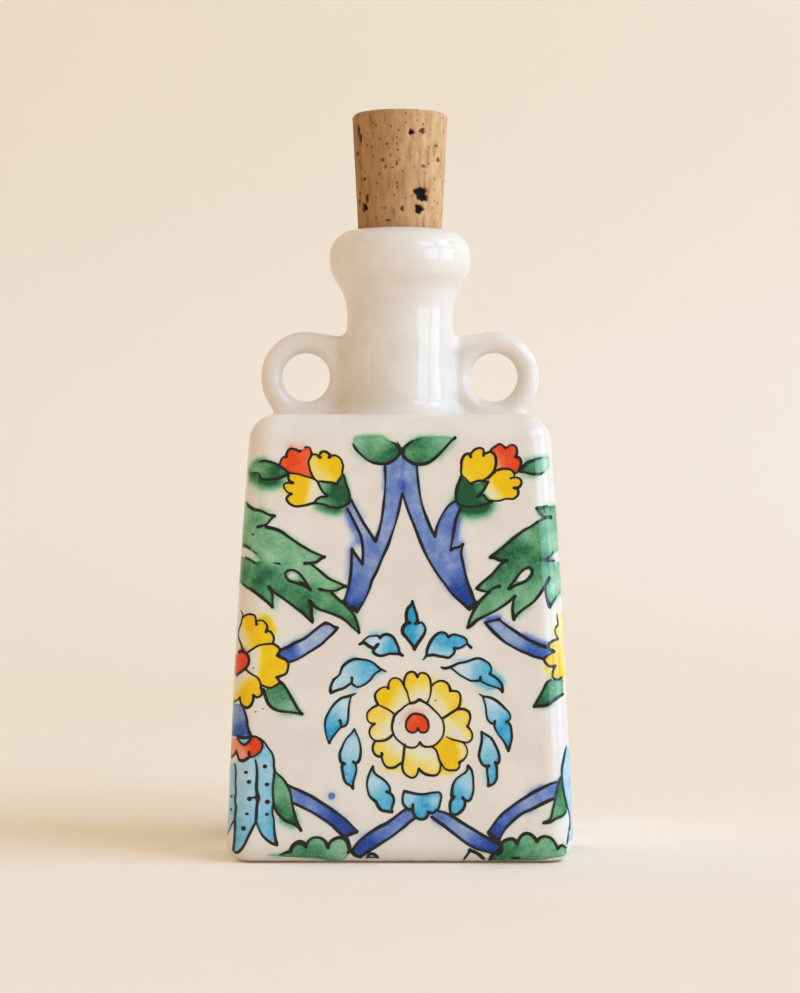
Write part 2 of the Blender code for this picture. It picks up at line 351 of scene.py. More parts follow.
def make_vessel():
    """The skin of all the ceramic, closed, with the hollow inside."""
    reach = net_step * (math.ceil(net_reach / net_step) + 0.5)
    low = (-reach, -reach, net_floor - 1.5 * net_step)
    high = (reach, reach, rim_height + 2 * net_step)
    points, quads = surface_net(vessel, low, high, net_step)
    points = onto(vessel, points)
    centre = points[quads].mean(1)
    radius = np.hypot(centre[:, 0], centre[:, 1])
    bottom = points[quads][..., 2].min(1)
    quads = quads[bottom > np.where(radius > 2 * bore_radius, net_floor, net_ceiling)]
    used, quads = np.unique(quads, return_inverse=True)
    quads = quads.reshape(-1, 4)
    points = points[used]
    loops = sorted(edge_loops(quads), key=lambda loop: -np.hypot(*points[loop][:, :2].T).max())
    outer, inner = loops[0], loops[1]
    count = len(points)
    all_points = [points]
    all_quads = [quads]
    tips = []

    def grow(loop, ring_points):
        """A row of quads from the loop to a new ring of points. Returns the new loop."""
        nonlocal count
        new = count + np.arange(len(loop))
        count += len(loop)
        all_points.append(ring_points)
        all_quads.append(np.stack([np.roll(loop, -1), loop, new, np.roll(new, -1)], -1))
        return new

    def close(loop, z):
        """Triangles from the loop to a point on the axis."""
        nonlocal count
        all_points.append(np.array([[0, 0, z]]))
        tips.extend((int(a), int(b), count) for a, b in zip(np.roll(loop, -1), loop))
        count += 1

    # The sides, from the net's lowest ring down to the foot
    edge = points[outer]
    side, across, angle = square_place(edge[:, 0], edge[:, 1], half_width(edge[:, 2]), upright_radius)

    def ring(half, radius, z):
        x, y = square_point(side, across, angle, half, radius)
        return np.stack([x, y, np.full(len(x), z)], -1)

    loop = outer
    rows = int((net_floor - 0.3 * net_step - foot_edge) / side_step)
    for row in range(1, rows + 1):
        z = net_floor + (foot_edge - net_floor) * row / rows
        loop = grow(loop, ring(half_width(z), upright_radius, z))
    for step in range(1, foot_steps + 1):
        turn = step / foot_steps * math.pi / 2
        inset = foot_edge * (1 - math.cos(turn))
        z = foot_edge * (1 - math.sin(turn))
        loop = grow(loop, ring(half_width(z) - inset, upright_radius - inset, z))
    rim_half = half_width(0) - foot_edge - foot_rim_width
    for inwards, z in recess_rings:
        loop = grow(loop, ring(rim_half - inwards, inner_edge, z))
    for share in (0.75, 0.5, 0.25, 0.1):
        half = (rim_half - recess_rings[-1][0]) * share
        loop = grow(loop, ring(half, min(inner_edge, half * 0.6), recess_top))
    close(loop, recess_top)

    # The hollow inside, from the bore's lowest ring
    edge = points[inner]
    around = np.arctan2(edge[:, 1], edge[:, 0])

    def hollow(half, radius, z):
        reach = radial(around, half, radius)
        return np.stack([reach * np.cos(around), reach * np.sin(around), np.full(len(around), z)], -1)

    throat = bore_radius + throat_step
    loop = grow(inner, hollow(throat, throat, ceiling_height + throat_step))
    first_half = bore_radius + throat_margin
    last_half = half_width(ceiling_height) - body_wall - inner_edge
    for share in (0.0, 0.2, 0.5, 0.8):
        half = first_half + (last_half - first_half) * share
        radius = half + (inner_edge - half) * share
        loop = grow(loop, hollow(half, radius, ceiling_height))
    for step in range(0, inner_steps + 1):
        bend = step / inner_steps * math.pi / 2
        z = ceiling_height - inner_edge * (1 - math.cos(bend))
        half = half_width(z) - body_wall - inner_edge * (1 - math.sin(bend))
        loop = grow(loop, hollow(half, inner_edge, z))
    drop = ceiling_height - floor_thickness - 2 * inner_edge
    for row in range(1, inner_rows + 1):
        z = ceiling_height - inner_edge - drop * row / inner_rows
        loop = grow(loop, hollow(half_width(z) - body_wall, inner_edge, z))
    for step in range(1, inner_steps + 1):
        bend = step / inner_steps * math.pi / 2
        z = floor_thickness + inner_edge * (1 - math.sin(bend))
        half = half_width(z) - body_wall - inner_edge * (1 - math.cos(bend))
        loop = grow(loop, hollow(half, inner_edge, z))
    for share in (0.66, 0.33):
        loop = grow(loop, hollow(half * share, inner_edge, floor_thickness))
    close(loop, floor_thickness)
    faces = np.concatenate(all_quads).tolist() + tips
    return mesh_object("glazed_vessel", np.concatenate(all_points), faces, "bottle")


# The painted pattern. Each pair is a pixel of the photograph, across and down. The pairs follow a line or the
# outline of a shape. At cusp it turns sharply. At hop the brush is lifted and set down on the next point.
# After bare the outline goes on unpainted.
# Where a line turns sharply, its parts start and end a little wider
part_start = 1.15
part_end = 1.35
lines = []
fills = []
washes = []
shades = []
holes = []


def strokes(marks):
    """The parts of a string of points and marks, each with whether it is painted."""
    parts = [[True, []]]
    for mark in marks.split():
        if "," in mark:
            parts[-1][1].append([float(number) for number in mark.split(",")])
        else:
            last = [] if mark == "hop" else parts[-1][1][-1:]
            parts.append([mark != "bare", last])
    return parts


def line(marks, width=2.4, start=0.7, end=0.7):
    """A black line. start and end are how wide its ends are, as shares of its width."""
    parts = [path for painted, path in strokes(marks) if painted]
    for number, path in enumerate(parts):
        first = start if number == 0 else part_start
        last = end if number == len(parts) - 1 else part_end
        lines.append((path, width, first, last))


def fill(colour, marks, deep=None, pale=None, tone=(0.7, 0.7)):
    """A coloured area without a line. Its tone changes from the first value at deep to the second at pale."""
    fills.append((colour, [path for painted, path in strokes(marks)], deep, pale, tone))


def shape(colour, marks, width=2.4, start=1.0, end=1.0, **paint):
    """A coloured area with its black outline."""
    fill(colour, marks, **paint)
    line(marks, width=width, start=start, end=end)


def wash(colour, marks, reach=6, strength=0.5):
    """Thin colour that has run over the line."""
    washes.append((colour, strokes(marks)[0][1], reach, strength))


def hole(marks):
    """A place inside a shape that is left white."""
    holes.append(strokes(marks)[0][1])


def shade(x, y, reach, amount):
    """Deeper paint about a point, or paler where the amount is less than zero."""
    shades.append((x, y, reach, amount))


# The two leaves at the top
shape("green", """
    352.5,443.5 355,448 360,453.5 366,459 373,462.5 380,463.5 387,463 393,460 397,456.5 400,452.5 bare
    397,446 391,441 380,436.5 366,436 355,438
    """, width=3, start=0.4, end=1.2, deep=(386, 458), pale=(372, 438), tone=(0.85, 0.4))
line("391,441.5 395,443.5 398,446.5 400,452", width=3, start=0.4, end=1.3)
line("397,441.5 399,446 402,450", width=2.4, start=0.4, end=1.4)
line("401,449 402,453 403.5,457", width=4.6, start=1, end=0.8)
shape("green", """
    402.5,451 404,457 408.5,460.5 414,463.5 419.5,464 426,463 433,459 440,452.5 446,446 451,440.5
    454.5,437.5 bare 444,436 430,436.5 416,438 408,443
    """, width=3, end=1.3, deep=(424, 454), pale=(444, 438), tone=(0.85, 0.45))
line("412.5,440 408,443.5 404,447 402.5,451", width=3, start=0.4, end=1.3)
shade(395, 450, 5, 0.15)
wash("green", "352,452 362,462", reach=4, strength=0.3)
wash("green", "440,456 452,443", reach=5, strength=0.35)

# The forked trunk
shape("blue", """
    384.5,466 385,478 384.5,490 383,505 381,520 378,532 375,541 cusp 370,533 364,524 359,515 355,507.5
    351,500 bare 347,508.5 hop 347,508.5 351,516 356,526 360.5,536 362,545 362.5,555 362,563.5 cusp
    356.5,556 352.5,550.5 351.5,548.5 cusp 351,560 350.5,572 348.5,584 346,594 343,602 cusp 347,606
    352,609.5 356.5,611.5 cusp 361,605 366,596 369,589 372,579 376,571.5 379.5,563.5 383,555 387,546.5
    390,538 393.5,528 397,516 399.5,505 401,497 402,493 bare 402,455 393,461 385,464
    """, width=2.7, deep=(353, 610), pale=(374, 562), tone=(1.05, 0.5))
shape("blue", """
    402,493 404.5,501 408,511 412,521 416,531 420,541.5 424,551 428,559 433,567.5 439,576.5 445,584.5
    451,592.5 457,598.5 463,603.5 469,609 cusp 473,606.5 476,603 cusp 474,600 471,592 468,584 465,573
    462.5,562 461,552 462.5,544 cusp 459,546.5 454,547.5 450.5,549.5 cusp 451.5,542 453,534 454.5,524
    456.5,516 460,508 bare 456,500.5 hop 456,500.5 453.5,501.5 448,505.5 443,512.5 439,520 436,528 434.5,536
    cusp 431.5,530 428,522 424.5,513 421.5,503 419,490 417.5,478 416.5,466 bare 410,461 402,455
    """, width=2.7, deep=(468, 602), pale=(440, 556), tone=(1.05, 0.52))
line("351,606 356,610", width=4.5)
line("470,607 475,603 479,601", width=5, start=0.8, end=0.5)
line("343,601 346,604", width=4, start=1, end=1)
shade(402, 488, 6, 0.25)
shade(372, 546, 8, 0.2)
shade(365, 580, 8, -0.1)
shade(356, 593, 9, -0.22)
shade(376, 562, 9, 0.12)
shade(520, 640, 8, -0.2)
shade(448, 570, 10, -0.12)
shade(356, 524, 12, -0.3)
shade(447, 528, 8, 0.1)
shade(425, 530, 7, 0.15)
shade(410, 474, 8, -0.1)
wash("blue", "344,507 349,522 355,540", reach=5, strength=0.6)
wash("blue", "356,502 364,516", reach=3, strength=0.35)
wash("blue", "348,548 347,562 346,576", reach=4, strength=0.4)
wash("blue", "382,468 382,486", reach=3, strength=0.4)
wash("blue", "462,510 458,526 457,541", reach=5, strength=0.55)
wash("blue", "465,550 467,568", reach=3, strength=0.4)
wash("blue", "436,578 452,596", reach=3, strength=0.35)

# The flower head at the upper left
shape("red", """
    279,464.5 280,461.5 281,459 282.5,457 286,456.5 cusp 286,454 287,451 289.5,448.5 291.5,448 293.5,449
    296,449 298,451 300,450.5 bare 305,447 hop 305,447 307.5,446.5 309.5,447.5 310.5,450 311.5,454 cusp
    309.5,458 308,461 308.5,464.5 309.5,469 311,473 312.5,476.5 315,479.5 bare 307,476.5 297,473.5
    287.5,471.5 283.5,468
    """, deep=(290, 462), pale=(306, 473), tone=(0.95, 0.65))
line("""
    272,462 276,463.5 279.5,466 283.5,468 287.5,471.5 292,473 297,473.5 302,475 307,476.5 311.5,477.5
    315,479.5 318,481.5
    """, start=0.4, end=1)
shape("yellow", """
    288.5,473 288,476 288,478.5 289,480.5 292.5,482.5 cusp 289,482.5 286,482.5 283.5,484 283.5,487 285.5,490
    288,492.5 291,493.5 cusp 288.5,495 286,497.5 287,501 289.5,503.5 293,505.5 297,506 301.5,505.5 307,504.5
    311.5,503 314.5,502.5 bare 317,490 315,479.5 302,475 292,473
    """, deep=(304, 490), pale=(313, 492), tone=(1, 0))
shape("yellow", """
    311.5,454 314.5,454 317,454.5 318,456.5 320,457 hop 319.5,454 321,451.5 323.5,451 327,452 329,454
    330,456.5 328.5,457 hop 332,455 335,455 338,456.5 340.5,459 342,462.5 343,466.5 342,470 342,474 bare
    338,480 336,484 330,482 317,481 312.5,476.5 309.5,469 308,461
    """, width=2.5, deep=(332, 462), pale=(315, 477), tone=(1, 0.35))
line("317,481 321,481 325,481.5 330,482 333.5,482.5 336,484 cusp 338,480 340.5,476.5 342.5,474")
shape("green", """
    317,481 318.5,484 320,487.5 322.5,491.5 327,495.5 hop 324.5,496.5 321,496.5 317,498.5 315,501
    314.5,502.5 cusp 318,503 323.5,504 328,506 332,507 337,507.5 342,506.5 346.5,504 349.5,501 cusp
    349.5,496.5 348.5,491 347,486.5 345.5,482.5 344.5,478 343,474.5 bare 338,480 336,484 330,482 321,481
    """, width=2.7, deep=(336, 500), pale=(317, 500), tone=(0.98, 0.35))
shape("green", """
    258,461.5 264,460.5 272,462 276,463.5 283.5,468 288.5,473 cusp 287,474.5 282,476.5 277,478.5 271.5,479
    266,479.5 260.5,477.5 258,473 252,472.5 bare 249,468
    """, width=2.6, start=0.3, end=0.3, deep=(274, 471), pale=(254, 466), tone=(0.9, 0.5))
wash("green", "252,478 262,483 274,484", reach=8, strength=0.8)
wash("green", "252,462 262,459", reach=4, strength=0.5)
wash("green", "322,509 338,511", reach=6, strength=0.75)
wash("red", "289,445 300,444", reach=4, strength=0.35)
wash("yellow", "278,487 283,492", reach=4, strength=0.45)
wash("yellow", "312,451 321,449", reach=3, strength=0.35)

# The flower head at the upper right
shape("yellow", """
    461.5,475.5 460.5,471 461,466 461,461 462.5,457 465,454 468,453 469.5,454.5 470.5,456.5 hop 470.5,453.5
    472.5,450.5 475.5,448.5 479.5,447.5 482.5,448.5 483.5,451 483,455 hop 485.5,453 490,451.5 492.5,452.5
    495,456 495.5,459.5 495.5,463.5 494.5,468 492.5,472 489,475.5 485.5,478.5 483,480.5 cusp 478,480.5
    473.5,482 470.5,483.5 cusp 467.5,481 465,478 461.5,475.5
    """, deep=(480, 464), pale=(464, 476), tone=(1, 0.8))
shape("green", """
    460.5,476 459,481 457,486 456,491 455.5,496 456.5,501 460.5,505 465.5,506 471.5,506.5 478,505.5 485,504
    489,502.5 491.5,501 cusp 488,500 485,497 482.5,494 477.5,496 cusp 480.5,493 483,490.5 485.5,486
    487.5,481.5 483,480.5 bare 470.5,483.5 461.5,475.5
    """, width=2.8, deep=(468, 498), pale=(483, 486), tone=(1.3, 0.7))
shape("red", """
    490,450.5 492.5,447.5 495.5,445.5 499.5,443.5 501.5,444.5 505,447.5 cusp 507.5,446.5 509,445 512.5,444.5
    515.5,446 516.5,449.5 516.5,453 515,456.5 cusp 519,457.5 520.5,460.5 520.5,464.5 519,468.5 517.5,471.5
    514,473 bare 510,469 501.5,468.5 493,471 495.5,463 495,456
    """, deep=(508, 460), pale=(497, 467), tone=(0.95, 0.3))
line("493,471 496.5,470 501.5,468.5 506.5,468.5 510,469 512.5,471 514,473.5 513.5,477 510,478")
shape("yellow", """
    510.5,478 515.5,477 519,478 521,480.5 521,483.5 519.5,486 517.5,487.5 513.5,487.5 hop 517.5,489.5
    518,493 516.5,496 513,498.5 509,498.5 505,498.5 500.5,500 495.5,500.5 490.5,500 bare 485.5,486 488,478.5
    493,471 501.5,468.5 510,469 514,473.5
    """, deep=(500, 485), pale=(489, 492), tone=(1, 0.1))
line("488,478.5 491.5,474.5 495,472", width=2.2)
shape("green", """
    542,457.5 536.5,458.5 531.5,460.5 527.5,461.5 524,464.5 520.5,468.5 hop 520,471.5 524,472 530,473.5
    535.5,474 540.5,473.5 544,471.5 bare 549,467 547,458
    """, width=2.6, start=0.3, end=0.3, deep=(532, 467), pale=(546, 464), tone=(0.85, 0.1))
wash("green", "462,510 472,513 481,510", reach=9, strength=0.95)
wash("green", "524,459 536,455", reach=4, strength=0.4)
wash("green", "524,476 534,478", reach=4, strength=0.4)

# The serrated leaf at the left
shape("green", """
    246.5,503.5 250,507 254,509 259,510 264,512 269,514.5 274,515.5 cusp 270,519.5 267,523.5 263.5,525
    257.5,526.5 hop 265.5,526.5 270,527.5 276,529 282,532 288,536.5 294,540.5 299,544 305,547.5 311,551
    317,553.5 324,556.5 cusp 320,558.5 317.5,561 312,562.5 304.5,563 hop 311,563.5 315,567 320,571 325,575.5
    330,579 336,581.5 341,584 345,586 cusp 340,588 336.5,590 330,590.5 325,590 319.5,589 hop 331,592 335,596
    339,599.5 343,603 347,607 351,611 354,615 356,620 358,627 358.5,632 cusp 352,627 346,621 340,617 333,614
    326,611.5 319,609 313,605 309,600.5 cusp 310.5,604 311,609 311,615 312,621.5 cusp 307,617 302,612.5
    296,608 290,603.5 284,599 278,595 272,590.5 268.5,586.5 cusp 270.5,590 272,594 272,600 272,606.5 cusp
    266,601 261,597 256,593 251,589.5 246,586.5 242,583 bare 226,578 226,545 236,500
    """, width=2.9, start=1.2, end=1.2, deep=(262, 584), pale=(284, 542), tone=(0.8, 0.42))
line("""
    284.5,573.5 286,571 291,569.5 297,571.5 301,575.5 305,581 310,589.5 cusp 306,586 300,584 294,582 288,580
    284.5,573.5
    """, width=2.8)
line("300,582 307,587", width=4)
hole("286,573 291,571 297,573 302,580 292,580 287,577")
line("243.5,544.5 247,546 250.5,548.5", width=3.6, start=0.9, end=0.4)
line("252,550 256.5,553.5", width=1.8, start=0.5, end=0.5)
line("245,556.5 249,559 253,561.5 256.5,563.5", width=1.9, start=0.8, end=0.5)
hole("240,546 246,548 253,552 262,560 255,562 249,558 240,556")
line("273.5,562.5 279.5,563.5", width=2.2, start=0.6, end=1)
shade(262, 572, 14, 0.15)
shade(306, 606, 9, 0.15)
shade(350, 618, 9, 0.15)
shade(258, 520, 12, 0.12)
shade(268, 556, 8, -0.35)
shade(328, 584, 8, -0.1)
shade(288, 590, 7, 0.15)
shade(300, 568, 8, -0.15)
wash("green", "262,508 270,510", reach=4, strength=0.4)
wash("green", "275,598 276,606", reach=4, strength=0.4)
wash("green", "315,607 315,615", reach=4, strength=0.45)
wash("green", "359,606 361,618", reach=5, strength=0.3)

# The serrated leaf at the right
shape("green", """
    547,505.5 542,507 536.5,508 cusp 539,512 541.5,515 544,517.5 547,516.5 551,517 hop 543,518 540,520
    536,522 533,524.5 529,527 524,529.5 518,534 512,538.5 506,544 500,549 495,553 490,557 cusp 494,557.5
    498,559.5 503,560.5 506.5,560 hop 504,561 500,564 496,569 492,573.5 488,577 482,582 476.5,588 cusp
    482,590.5 488,591 492,588.5 496,586.5 499,586 hop 489,591.5 485,595 480,600 476,606 472,613 469,620
    467.5,627 cusp 472,624 477,619.5 483,616.5 489,613.5 495,610.5 501,606.5 507,602.5 511,599 514.5,596
    cusp 513,601 512,607 512.5,613 513.5,619 cusp 518,613 522,609.5 527,606 532,602.5 537,597 541,591.5
    544.5,586 547,581 549,577.5 hop 545,587 545.5,594 547,600 549.5,606.5 cusp 553,601 555.5,597 bare
    560,592 572,588 572,505
    """, width=3, start=0.7, end=0.7, deep=(516, 556), pale=(526, 598), tone=(0.92, 0.55))
line("""
    508.5,588.5 511,584 514,580 517,575.5 521,571 526,567.5 530,567 532,569.5 531.5,574 528,578.5 523,582
    516,584.5 508.5,588.5
    """, width=2.9, start=1.3, end=1.3)
hole("516,582 519,576 524,570 529,569 530,572 526,578 520,581")
line("540.5,559.5 546,558 550,556 552.5,551.5", width=2.8, start=0.6, end=0.6)
line("545,560 550,560.5 554,560", width=3, start=1, end=0.6)
hole("549,558 553,553 560,549 572,549 572,562 556,561")
shade(530, 534, 11, -0.38)
shade(485, 606, 8, 0.22)
shade(270, 545, 9, 0.22)
shade(368, 445, 8, 0.2)
# Paler paint along the leaf's right edge: a painted highlight, where the window's reflection on the rounded
# corner washes the green out
shade(549, 518, 12, -0.45)
shade(551, 545, 13, -0.45)
shade(557, 540, 15, -0.4)
shade(557, 576, 12, -0.4)
shade(556, 560, 6, -0.4)
shade(552, 590, 7, -0.3)
shade(515, 605, 6, 0.2)
wash("green", "538,512 541,518", reach=3, strength=0.45)
wash("green", "520,616 530,608", reach=4, strength=0.35)

# The stems at the middle left and right
shape("blue", """
    280,649.5 287.5,646.5 295.5,642 301.5,639.5 307.5,635.5 314,630 321.5,624.5 325,622.5 cusp 330,624
    334,626.5 337,627.5 cusp 332.5,633 326.5,638.5 321.5,643.5 314,648.5 307.5,652.5 301.5,656.5 295.5,659.5
    289.5,661.5 bare 285.5,659.5 281.5,657.5 278,655
    """, width=2.8, deep=(294, 652), pale=(303, 647), tone=(0.8, 0.28))
shape("blue", """
    485,622.5 491.5,620.5 498.5,619 cusp 503.5,623 509,627 515,631 521,635 527.5,639 534,642 541,645
    547.5,646.5 bare 548.5,654.5 543.5,658.5 hop 543.5,658.5 538.5,657.5 533,656 527.5,653.5 521,651 515,648
    510.5,645.5 505.5,642.5 500,638 494.5,633 490,628.5 485,622.5
    """, width=3, deep=(536, 650), pale=(505, 632), tone=(0.85, 0.4))
line("531,641 538,644 546,647", width=4, start=0.7, end=0.8)
wash("blue", "284,645 296,638 308,631", reach=3, strength=0.4)
wash("blue", "487,618 497,615", reach=4, strength=0.65)
wash("blue", "504,620 515,627", reach=3, strength=0.35)
wash("blue", "526,635 536,639 545,643", reach=4, strength=0.6)

# The flower on the corner: its right half shows at the left edge and its left half at the right edge
shape("red", """
    238,651.5 242,651 245.5,652.5 248,656.5 248.5,661.5 247,665.5 244.5,668.5 240.5,671.5 236.5,674.5 bare
    230,670 228,656
    """, width=3, end=1.4, deep=(242, 661), pale=(236, 655), tone=(1, 0.8))
line("""
    240.5,610.5 242.5,614 241.5,619 240.5,623.5 238.5,629.5 238,636.5 240.5,643.5 243,651
    """, width=2.8, start=0.4, end=1.2)
shape("yellow", """
    242.5,617 244,615.5 247.5,614 252,614 254.5,615.5 255.5,619.5 256,624 cusp 257.5,620 261.5,620 265.5,623
    267,627.5 265.5,631.5 cusp 268.5,630.5 272,633.5 273.5,638 272.5,643 bare 263.5,644 252.5,648.5
    248,651.5 244,648 240.5,643.5 238,636.5 238.5,629.5 240.5,623.5
    """, deep=(252, 632), pale=(241, 638), tone=(0.98, 0.15))
shape("yellow", """
    248,651.5 252.5,648.5 258.5,645 263.5,644 268.5,643.5 272.5,643.5 276.5,645.5 279.5,649 277,655 cusp
    281.5,657.5 285.5,659.5 288,663.5 287.5,668.5 285.5,673.5 280.5,675.5 276.5,677 cusp 280,682 cusp
    275.5,685 270.5,687.5 265.5,686.5 262,685 bare 260,682.5 257.5,677.5 252.5,674.5 247.5,671 247,666
    248.5,661.5 248,656.5
    """, width=2.6, deep=(263, 664), pale=(254, 663), tone=(0.92, 0))
shape("yellow", """
    244.5,667.5 247.5,671 252.5,674.5 257.5,677.5 260,682.5 260.5,687.5 261.5,694 257,697 253,695 cusp
    252.5,700.5 250,705.5 246.5,707.5 242.5,705.5 240,701.5 239.5,697.5 cusp 235.5,700.5 231,701.5 bare
    228,685 236,674
    """, width=2.6, deep=(249, 687), pale=(241, 675), tone=(0.98, 0))
shape("green", """
    263,688.5 264.5,694.5 266.5,700.5 269.5,705.5 275.5,709.5 281.5,711 287.5,711.5 294.5,712.5 301.5,713.5
    cusp 297.5,708.5 293.5,701.5 289.5,694.5 285.5,687.5 282.5,683.5 280,681.5 bare 270.5,687.5
    """, width=2.9, deep=(276, 695), pale=(292, 710), tone=(0.8, 0.5))
wash("yellow", "266,618 272,626", reach=5, strength=1.1)
wash("red", "240,647 246,649", reach=3, strength=0.6)
wash("green", "282,715 290,714", reach=4, strength=0.35)
wash("green", "292,693 299,704", reach=3, strength=0.35)
shape("yellow", """
    556.5,614 557,619 557.5,624.5 555,627.5 555,633 557.5,638.5 cusp 551.5,641 548,644.5 548.5,648 554,651
    cusp 548.5,654.5 543.5,659 546,663.5 549.5,666 555,665.5 cusp 552.5,671 552,675.5 552.5,677.5 557,679
    561.5,677 bare 572,676 572,612
    """, width=2.6, start=0.5, end=1, deep=(553, 658), pale=(563, 650), tone=(0.95, 0.35))
shape("green", """
    550.5,679.5 546.5,682 543,689 539.5,695.5 536,702 534,706 cusp 541,705.5 547,704.5 552,701 557.5,697
    563,693.5 bare 563,678
    """, width=3, start=0.8, end=1, deep=(547, 694), pale=(561, 688), tone=(0.85, 0.4))
wash("yellow", "551,620 551,634", reach=3, strength=0.4)
wash("yellow", "546,670 548,676", reach=4, strength=0.8)
wash("green", "541,709 552,706", reach=3, strength=0.45)

# The bell-shaped flower under it
shape("blue", """
    240.5,704 242,705.5 244,710.5 246,716.5 247.5,727 249.5,732.5 250.5,736 cusp 243,737.5 236.5,736 bare
    226,734 226,702
    """, width=2.8, deep=(243, 733), pale=(240, 712), tone=(0.95, 0.4))
shape("red", """
    250.5,736 255.5,736.5 260,739.5 262,743.5 261,749.5 257.5,753.5 253.5,756 249,756.5 248.5,752 hop
    249,756.5 246.5,758.5 242,760.5 239.5,760 237.5,756 236,751 cusp 234.5,753.5 231,757 bare 226,757
    226,740 236,738
    """, width=2.6, deep=(255, 745), pale=(241, 752), tone=(1, 0.4))
shape("sky", """
    237.5,738 240,742 244,744.5 247.5,742.5 250.5,738.5 bare 250,736.5 238,736.5
    """, width=3, tone=(0.3, 0.3))
shape("sky", """
    259,738 263.5,741.5 267.5,747 272,753.5 273.5,759.5 273.5,766 274.5,771 cusp 273.5,777 272.5,786
    272.5,795 273,802.5 272,810.5 273.5,819.5 274,829.5 275,838 276.5,844.5 cusp 271.5,843 266.5,839.5
    262,835 259,829.5 256,822.5 bare 256,788 256.5,768 255,758 261,750 262,744
    """, width=2.6, deep=(264, 830), pale=(264, 764), tone=(0.66, 0.48))
shape("sky", """
    255.5,821.5 252,828 247.5,837 243.5,845 239.5,850.5 235.5,852.5 232.5,850 bare 234,838 234.5,816
    234.5,799.5 235,783.5 234.5,764 238,758 242,760.5 249,756.5 255,757 256.5,779 256,806
    """, width=2.8, deep=(243, 835), pale=(246, 768), tone=(0.65, 0.3))
fill("sky", "234.5,764 235,783.5 234.5,799.5 234.5,816 229,831 220,834 220,762", tone=(0.45, 0.45))
line("255,760 256.5,768 256.5,779.5 256,788 257.5,797 256.5,806 256,815 255.5,821.5", width=3, end=1)
line("257,793 257.5,801", width=4.6)
line("""
    234.5,763.5 235.5,771.5 235,783.5 235.5,792.5 234.5,799.5 235.5,806 234.5,816 234.5,827 234,838 233,849
    """, width=3.3, end=1.4)
line("233.5,820.5 231,824 229,829.5 227,834", width=2.6, start=1)
line("249.5,798 253,797 256,797.5", width=2.2)
# Small dots: where they are, and their radius
dots = """
    245.5,772,1.8 248.5,781.5,2 249,798.5,2.2 246.5,813.5,1.6 243,828,2.4 264.5,766,2 266.5,784,1.9
    267,801.5,2.3 266.5,814,1.6 231,796,1.8 230.5,809,1.5 252.5,534,1.2 253,667.5,0.6 262.5,708.5,0.6
    255,711.5,0.6 282.5,698.5,0.6 435,700,0.7
    """
for dot in dots.split():
    x, y, size = [float(number) for number in dot.split(",")]
    line(f"{x - 0.4},{y} {x + 0.4},{y}", width=2 * size, start=1, end=1)
shape("green", """
    274.5,771.5 279,775 283.5,779.5 287,785 290,792.5 291.5,801.5 293.5,810.5 295.5,819 300.5,830 cusp
    297.5,826.5 292,823 285.5,820.5 280,816 275.5,810.5 273.5,803.5 bare 272.5,794 273.5,782.5
    """, width=2.7, start=0.8, deep=(286, 812), pale=(280, 786), tone=(0.9, 0.5))
shade(254, 800, 8, -0.15)
wash("red", "264,745 262,752", reach=3, strength=0.35)
wash("green", "280,822 290,828", reach=4, strength=0.6)
wash("green", "297,813 299,820", reach=3, strength=0.5)
wash("green", "270,788 270,798", reach=2.5, strength=0.5)
line("""
    566,745 564.5,752.5 563,760.5 561.5,768 561.5,775 562,781.5 563,788 564.5,797 566.5,805 568.5,811.5
    569.5,818 569.5,825 568.5,830.5
    """, width=3.2, start=0.2, end=0.8)
line("568,832.5 567.5,838 566.5,843.5", width=2.3)
fill("sky", """
    566,745 563,760.5 561.5,775 563,788 566.5,805 569.5,818 568,832.5 566.5,843.5 572,838 584,832 584,750
    """, tone=(0.4, 0.4))
shape("green", """
    561.5,775 559,779.5 557.5,783.5 555.5,792.5 554,801.5 552,810.5 550,818.5 543.5,822.5 cusp 549.5,822
    555.5,818 561,816 565.5,811 bare 566.5,805 564.5,797 562,781.5
    """, width=2.8, start=0.5, deep=(560, 792), pale=(554, 816), tone=(0.9, 0.6))
line("544,822.5 550,820.5", width=4)

# The lower stems, which cross under the ring of leaves
shape("blue", """
    287,784.5 292,787 298,789.5 305,793 312,796.5 319,801 326,805.5 333,810 340,815.5 346,820 351,825
    356.5,831 cusp 350,834.5 343.5,836 cusp 337,830.5 332,825.5 326,821 319,816.5 312,812 305,808.5
    299,805.5 293.5,803 bare 291.5,801.5
    """, width=3, deep=(338, 822), pale=(306, 800), tone=(0.98, 0.62))
line("345,836 348,842 349.5,849 348,852", width=4, start=1, end=1)
line("349,834 356,831.5", width=4.2, start=1, end=1)
shape("blue", """
    556,781.5 549,784 541,788 533,792 525,797 517,802 509,808 502,813.5 496,820 491,827 488,832 cusp 493,837
    498.5,840.5 cusp 501,835 505,828.5 510,823 516,817.5 523,812.5 531,809 539,805 547,801 554,798 bare
    557,790
    """, width=3, deep=(498, 830), pale=(530, 802), tone=(0.9, 0.5))
line("488.5,832.5 493,837 498,840.5", width=4.2, start=1, end=1)
shape("blue", """
    405,809 400,812.5 393,818 386,823 378,827 370,832 362,838 356,844 351.5,851 cusp 355,855 360,857 cusp
    368,851 376,846 384,841 391,836.5 398,831 404,826.5 410,821 415,817.5 bare 412.5,810
    """, width=3, deep=(361, 848), pale=(394, 825), tone=(1, 0.6))
line("352,852 355,855 360,856.5", width=4.2, start=1, end=1)
shape("blue", """
    438,810.5 445,812.5 452,816 459,820.5 466,825 473,829 480,833.5 488,838 495,842.5 500,846 cusp 500.5,850
    497,854 cusp 492,853 487,851.5 479,849.5 471,846 464,841.5 457,836 450,830.5 443,825 437,821 431,816.5
    bare 431,813
    """, width=3, deep=(486, 845), pale=(464, 831), tone=(1, 0.4))
line("499.5,842 501,848 499,853", width=4.2, start=1, end=1)
shade(440, 818, 8, 0.4)
shade(345, 825, 10, 0.1)
shade(553, 790, 5, 0.3)
wash("blue", "330,806 346,818", reach=3, strength=0.3)
